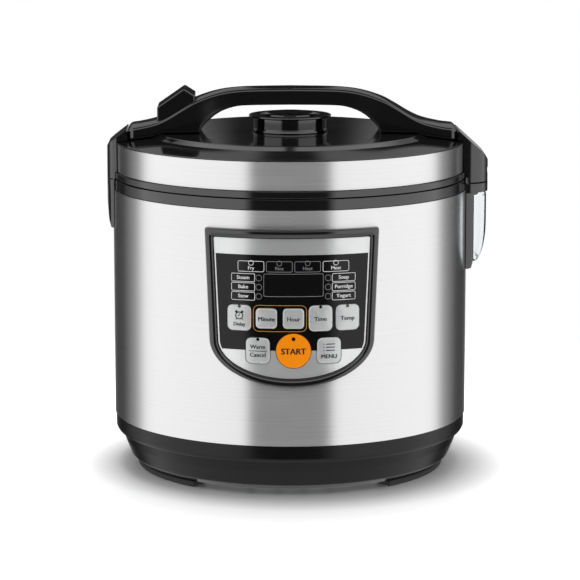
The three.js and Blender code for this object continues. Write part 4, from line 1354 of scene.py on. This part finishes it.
def body_cylinder():
    """The body with a gap round it, as a tool that trims what is fixed to the sleeve."""
    return rod("body_tool", SLEEVE_R + GAP, 100 * MM, 260 * MM, ROUND)


def make_latch_cover():
    """The latch housing's upper half, on the lid beside the left wing."""
    left = low("latch_cover")[0]
    inner = AXIS_X + HANDLE_LEFT - 0.5 * MM
    root = AXIS_X - HOUSING_ROOT
    top = high("latch_cover")[2]
    cover = housing([
        (inner, COVER_INSIDE, 0),
        (inner, top, 0.4 * MM),
        (left + 1.4 * MM, top - 9.6 * MM, 2.4 * MM),
        (left, top - 12.5 * MM, 1.5 * MM),
        (left, LID_LOW, 0.3 * MM),
        (root, LID_LOW, 0),
        (root, COVER_INSIDE, 0),
    ], left - AXIS_X, 0.9 * MM, lid_envelope(GAP))
    skin(cover, "latch_cover", GLOSS, 35)


def make_latch_keeper():
    """The latch housing's lower half, on the body. It tapers towards its foot."""
    left = low("latch_cover")[0]
    root = AXIS_X - HOUSING_ROOT
    keeper_low, keeper_top = low("latch_keeper")[2], high("latch_keeper")[2]
    keeper = housing([
        (root, keeper_top, 0),
        (left, keeper_top, 0.3 * MM),
        (left, 190 * MM, 8 * MM),
        (left + 1.6 * MM, 174 * MM, 8 * MM),
        (left + 3.1 * MM, keeper_low + 1 * MM, 0.6 * MM),
        (root, keeper_low, 0),
    ], left - AXIS_X, 0.9 * MM, body_cylinder())
    skin(keeper, "latch_keeper", GLOSS, 35)


def hinge_bore(half):
    """A tool along the hinge's axis, as wide as its pin."""
    return prism("bore", circle(PIVOT[0], PIVOT[2], 1.3 * MM, 24), -half, half)


def make_hinge_cover():
    """The hinge housing's upper half, which turns with the lid, with room inside for the bracket's ears."""
    right = high("hinge_cover")[0]
    cover_low, cover_top = low("hinge_cover")[2], high("hinge_cover")[2]
    inner = AXIS_X + HANDLE_RIGHT + 0.5 * MM
    back = AXIS_X + 119 * MM
    side = [
        (inner, COVER_INSIDE, 0),
        (back, COVER_INSIDE, 0),
        (back, cover_low, 0),
        (right, cover_low, 0.4 * MM),
        (right, cover_top - 22 * MM, 6 * MM),
        (right - 3.2 * MM, cover_top - 16.5 * MM, 5 * MM),
        (inner, cover_top, 0.4 * MM),
    ]
    half = 9.2 * MM
    ears = block("ears", (PIVOT[0] - 5.6 * MM, -half, cover_low - MM), (right + 3 * MM, half, 208.8 * MM))
    skirt = rod("skirt", 124.6 * MM, 190 * MM, LID_LOW, 96)
    cover = housing(side, right - AXIS_X, 1.2 * MM, lid_envelope(GAP), skirt, ears, hinge_bore(11.2 * MM))
    skin(cover, "hinge_cover", GLOSS, 35)


def make_hinge_bracket():
    """The hinge housing's lower half, on the body, with two ears that carry the pin."""
    right = high("hinge_cover")[0]
    root = AXIS_X + HOUSING_ROOT
    bracket_low, bracket_top = low("hinge_bracket")[2], 198.5 * MM
    bracket = housing([
        (root, bracket_low, 0),
        (right, bracket_low, 0.8 * MM),
        (right, bracket_top, 0.4 * MM),
        (root, bracket_top, 0),
    ], right - AXIS_X, 0.5 * MM, body_cylinder())
    ear_r = 2.6 * MM
    foot = bracket_top - 2 * MM
    ear = [(PIVOT[0] - 4 * MM, foot), (PIVOT[0] + ear_r, foot)]
    ear += circle(PIVOT[0], PIVOT[2], ear_r, 32)[:17]
    ear += [(PIVOT[0] - 4 * MM, PIVOT[2] - 3 * MM)]
    for y0, y1 in ((-8.5 * MM, -5 * MM), (5 * MM, 8.5 * MM)):
        combine(bracket, prism("ear", ear, y0, y1), "UNION")
    combine(bracket, hinge_bore(10 * MM), "DIFFERENCE")
    skin(bracket, "hinge_bracket", GLOSS, 35)


def cup_rings(back, reach, half, foot, top):
    """Rings up one side of the drip cup's wall: half a superellipse in plan that swells from the foot."""
    rings = []
    levels = 14
    for k in range(levels + 2):
        turn = math.pi / 2 * min(k / levels, 1)
        z = top if k > levels else foot + 27 * MM * (1 - math.cos(turn))
        depth = 3 * MM + (reach - back - 3 * MM) * math.sin(turn)
        ring = [Vector((back, half, z)), Vector((back, -half, z))]
        for step in range(-20, 21):
            angle = math.pi / 2 * step / 20
            across = math.copysign(half * abs(math.sin(angle)) ** (2 / PLAN_POWER), step)
            out = depth * (0.25 + 0.75 * max(0, math.cos(angle)) ** (2 / PLAN_POWER))
            ring.append(Vector((back + out, across, z)))
        rings.append(ring)
    return rings


def make_drip_cup():
    """The clear cup that catches what runs off the lid: up its outside, over the brim and down inside."""
    lo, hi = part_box("drip_cup")
    wall = 1.4 * MM
    outer = cup_rings(lo[0], hi[0], hi[1], lo[2], hi[2])
    inner = cup_rings(lo[0] + wall, hi[0] - wall, hi[1] - wall, lo[2] + wall, hi[2])
    skin(loft("cup", outer + inner[::-1]), "drip_cup", CLEAR, 35)


def make_cup_holder():
    """The black holder round the cup, cut out for it, with a drain hole above it."""
    lo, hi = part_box("drip_cup")
    half = hi[1] + GAP
    root = AXIS_X + HOUSING_ROOT
    right = high("cup_holder")[0]
    holder_low, holder_top = low("cup_holder")[2], high("cup_holder")[2]
    side = [
        (root, holder_low + 1.5 * MM, 0),
        (AXIS_X + 122.5 * MM, holder_low, 0.6 * MM),
        (AXIS_X + 125.4 * MM, holder_low + 0.5 * MM, 1 * MM),
        (AXIS_X + 129.5 * MM, holder_low + 14 * MM, 3 * MM),
        (right, holder_low + 23 * MM, 3 * MM),
        (right, holder_top, 0.4 * MM),
        (root, holder_top, 0),
    ]
    room = block("cup_room", (lo[0] - GAP, -half, lo[2] - 0.5 * MM), (hi[0] + 4 * MM, half, hi[2] + GAP))
    drain_half = 2 * MM
    drain = block("drain", (AXIS_X + 127 * MM, -drain_half, hi[2] - 2 * MM),
                  (AXIS_X + 129.5 * MM, drain_half, 194 * MM))
    holder = housing(side, right - AXIS_X, 0.9 * MM, body_cylinder(), room, drain)
    skin(holder, "cup_holder", GLOSS, 35)


# ---- Carried-over CAD nodes ----

KEPT_LOOKS = {
    "base_plate": ZINC, "inner_casing": ZINC, "sensor_housing": ZINC,
    "base_screw_1": SCREW_STEEL, "base_screw_2": SCREW_STEEL,
    "base_screw_3": SCREW_STEEL, "base_screw_4": SCREW_STEEL,
    "heating_plate": ALUMINIUM, "sensor_cap": ALUMINIUM, "inner_lid": ALUMINIUM,
    "sensor_spring": WIRE_STEEL, "hinge_spring": WIRE_STEEL, "button_spring": WIRE_STEEL,
    "hinge_pin": WIRE_STEEL, "latch_pin": WIRE_STEEL,
    "power_board": BOARD, "control_board": BOARD, "display_module": SMOKED, "wire_loom": WIRE,
    "power_inlet": SATIN, "inlet_pin_live": BRASS, "inlet_pin_neutral": BRASS, "inlet_pin_earth": BRASS,
    "lid_liner": LINER, "vent_float": SILICONE, "handle_liner": SATIN, "latch_hook": SATIN,
}


def finish_kept_nodes():
    """Materials and soft edges for the CAD nodes that stay."""
    for name, look in KEPT_LOOKS.items():
        obj = frame["nodes"][name]
        obj.data.materials.clear()
        obj.data.materials.append(look)
        weld = obj.modifiers.new("weld", "WELD")
        weld.merge_threshold = 0.002 * MM
        for polygon in obj.data.polygons:
            polygon.use_smooth = True
        edges = obj.modifiers.new("edges", "BEVEL")
        edges.width = 0.25 * MM
        edges.segments = 2
        edges.limit_method = "ANGLE"
        edges.angle_limit = math.radians(40)
        edges.use_clamp_overlap = True
        normals = obj.modifiers.new("normals", "WEIGHTED_NORMAL")
        normals.keep_sharp = False


# ---- Studio ----

FLOOR_R = 0.6
FLOOR_FADE = (0.25, 0.5)  # distances from the middle between which the floor fades out
FLOOR_PAINTED_SHADOW = (0.12, 0.15)  # and between which the painted contact shadow goes from grey to white
# the grey of the contact shadow painted onto the floor near the body
FLOOR_SHADOW_GREY = (0.6, 0.6, 0.6)
FLOOR_WHITE = (0.96, 0.96, 0.96)


def make_floor():
    """A pale round floor that fades out at its edge, with a contact shadow painted grey close around the body."""
    segments = 96
    rim = [(x, y, -0.2 * MM) for x, y in circle(0, 0, FLOOR_R, segments)]
    fans = [(0, k + 1, (k + 1) % segments + 1) for k in range(segments)]
    obj = object_from("floor", [(0, 0, -0.2 * MM), *rim], fans)
    paint = Paint("studio_floor", FLOOR_WHITE, 0.3, Specular_IOR_Level=0.25)
    coordinates = paint.node("ShaderNodeTexCoord")
    length = paint.node("ShaderNodeVectorMath", operation="LENGTH")
    paint.link(coordinates.outputs["Object"], length.inputs[0])
    distance = length.outputs["Value"]
    paint.link(paint.spread(distance, 1, 0, *FLOOR_FADE), paint.bsdf.inputs["Alpha"])
    # painted contact shadow: the floor's colour is grey close around the body and white further out
    paint.tint(paint.spread(distance, 0, 1, *FLOOR_PAINTED_SHADOW), FLOOR_SHADOW_GREY, FLOOR_WHITE)
    obj.data.materials.append(paint.material)
    obj.visible_glossy = False


# Brightness of the surroundings by bearing from the camera's side, in degrees either way.
AROUND = [(0, 0.05), (24, 0.055), (30, 1.2), (108, 1.22), (118, 0.6), (138, 0.05), (159, 0.04), (168, 0.35),
          (180, 0.55)]
# Brightness behind the object by height above the horizon, in degrees.
BEHIND = [(0, 0.02), (6.2, 0.02), (6.7, 0.26), (24, 0.26), (30, 0.3), (40, 0.9), (60, 0.9), (70, 0.08),
          (90, 0.08)]
STRIPE = (1.0, 2.0)  # a narrow dark strip straight behind, in degrees either way
STRIPE_LIGHT = 0.015
UPPER_LIGHT = 1.2  # above the soft boxes
ZENITH_LIGHT = 0.1  # straight overhead
LOWER_LIGHT = 0.8  # below the soft boxes
SKY_LIGHT = 1.45  # overhead, as matte surfaces see it
HORIZON_LIGHT = 0.1  # and at the horizon
CAMERA_AHEAD = (0, 0, 1)  # the camera's viewing direction in its own space


def grey(level):
    return (level, level, level, 1)


class Sky(Graph):
    """The world's node tree, with calls that turn angles in degrees into brightness."""

    def ramp(self, value, stops, span):
        """Brightness from (degrees, level) stops. Value is in degrees, from 0 to span."""
        made = self.node("ShaderNodeValToRGB")
        slots = made.color_ramp.elements
        slots[0].color = grey(stops[0][1])
        slots[1].color = grey(stops[-1][1])
        for angle, level in stops[1:-1]:
            slots.new(angle / span).color = grey(level)
        self.link(self.math("DIVIDE", value, span), made.inputs[0])
        return made.outputs["Color"]

    def smooth(self, value, start, stop):
        """A soft step from 0 at start to 1 at stop."""
        made = self.node("ShaderNodeMapRange", interpolation_type="SMOOTHSTEP")
        made.inputs["From Min"].default_value = start
        made.inputs["From Max"].default_value = stop
        self.link(value, made.inputs["Value"])
        return made.outputs["Result"]


def make_surroundings():
    """Two broad soft boxes beside the camera with a gap between them, dark flags at the rear, light above.

    The rig follows the camera round the object, so every side is lit as the front is.
    """
    world = bpy.data.worlds.new("studio")
    bpy.context.scene.world = world
    world.use_nodes = True
    world.node_tree.nodes.clear()
    graph = Sky(world.node_tree)
    node, calc, axes, ramp = graph.node, graph.math, graph.axes, graph.ramp
    smooth, blend = graph.smooth, graph.blend

    ahead = node("ShaderNodeVectorTransform", vector_type="VECTOR", convert_from="CAMERA", convert_to="WORLD")
    ahead.inputs[0].default_value = CAMERA_AHEAD
    view = axes(ahead.outputs[0])
    ray = axes(node("ShaderNodeTexCoord").outputs["Generated"])
    dot = calc("ADD", calc("MULTIPLY", ray["X"], view["X"]), calc("MULTIPLY", ray["Y"], view["Y"]))
    cross = calc("SUBTRACT", calc("MULTIPLY", ray["X"], view["Y"]), calc("MULTIPLY", ray["Y"], view["X"]))
    bearing = calc("ABSOLUTE", calc("DEGREES", calc("ARCTAN2", cross, calc("MULTIPLY", dot, -1))))
    height = calc("DEGREES", calc("ARCSINE", ray["Z"]))

    around = ramp(bearing, AROUND, 180)
    around = blend(smooth(height, 26, 36), around, grey(UPPER_LIGHT))
    around = blend(smooth(height, 56, 70), around, grey(ZENITH_LIGHT))
    around = blend(smooth(height, -26, -36), around, grey(LOWER_LIGHT))
    behind = ramp(calc("MAXIMUM", height, 0), BEHIND, 90)
    not_stripe = smooth(calc("SUBTRACT", 180.0, bearing), *STRIPE)
    behind = blend(not_stripe, grey(STRIPE_LIGHT), behind)
    is_behind = calc("MULTIPLY", smooth(bearing, 108, 122), smooth(height, -4, -1))
    level = blend(is_behind, around, behind)
    paths = node("ShaderNodeLightPath").outputs
    sky = blend(smooth(height, -5, 45), grey(HORIZON_LIGHT), grey(SKY_LIGHT))
    level = blend(paths["Is Diffuse Ray"], level, sky)
    straight = calc("MAXIMUM", paths["Is Camera Ray"], paths["Is Transmission Ray"])
    background = node("ShaderNodeBackground")
    graph.link(blend(straight, level, grey(1)), background.inputs["Color"])
    output = node("ShaderNodeOutputWorld")
    graph.link(background.outputs[0], output.inputs[0])


def make_light():
    """One large soft light, above and a little behind, for the contact shadow."""
    data = bpy.data.lights.new("overhead", "AREA")
    data.shape = "DISK"
    data.size = 1.1
    data.energy = 18
    lamp = bpy.data.objects.new("overhead", data)
    lamp.location = (AXIS_X, 0.45, 1.5)
    lamp.rotation_euler = (math.radians(-14), 0, 0)
    lamp.visible_glossy = False
    bpy.context.scene.collection.objects.link(lamp)


CAMERA_DISTANCE = 1.884  # from the body's axis
CAMERA_HEIGHT = 0.453
CAMERA_LENS = 169.1
CAMERA_PITCH = math.radians(10.0)
CAMERA_SWING = math.radians(0.65)  # a little to the latch side of straight on


def make_camera():
    """The photograph's camera: a long lens, nearly straight on and looking down a little."""
    data = bpy.data.cameras.new("camera")
    data.sensor_width = 36
    data.lens = CAMERA_LENS
    camera = bpy.data.objects.new("camera", data)
    x = AXIS_X - CAMERA_DISTANCE * math.sin(CAMERA_SWING)
    camera.location = (x, -CAMERA_DISTANCE * math.cos(CAMERA_SWING), CAMERA_HEIGHT)
    camera.rotation_euler = (math.pi / 2 - CAMERA_PITCH, 0, -CAMERA_SWING)
    bpy.context.scene.collection.objects.link(camera)
    bpy.context.scene.camera = camera
    bpy.context.scene.view_settings.view_transform = "Standard"


make_sleeve()
make_collar()
make_base()
make_feet()
make_bezel()
make_panel_face()
make_display()
make_keys()
make_program_print()
make_key_print()
make_lid_rim()
make_lid_band()
make_lid_cover()
make_pot()
make_gasket()
make_vent_body()
make_vent_cap()
make_handle()
make_release_button()
make_latch_cover()
make_latch_keeper()
make_hinge_cover()
make_hinge_bracket()
make_drip_cup()
make_cup_holder()
finish_kept_nodes()
make_floor()
make_surroundings()
make_light()
make_camera()
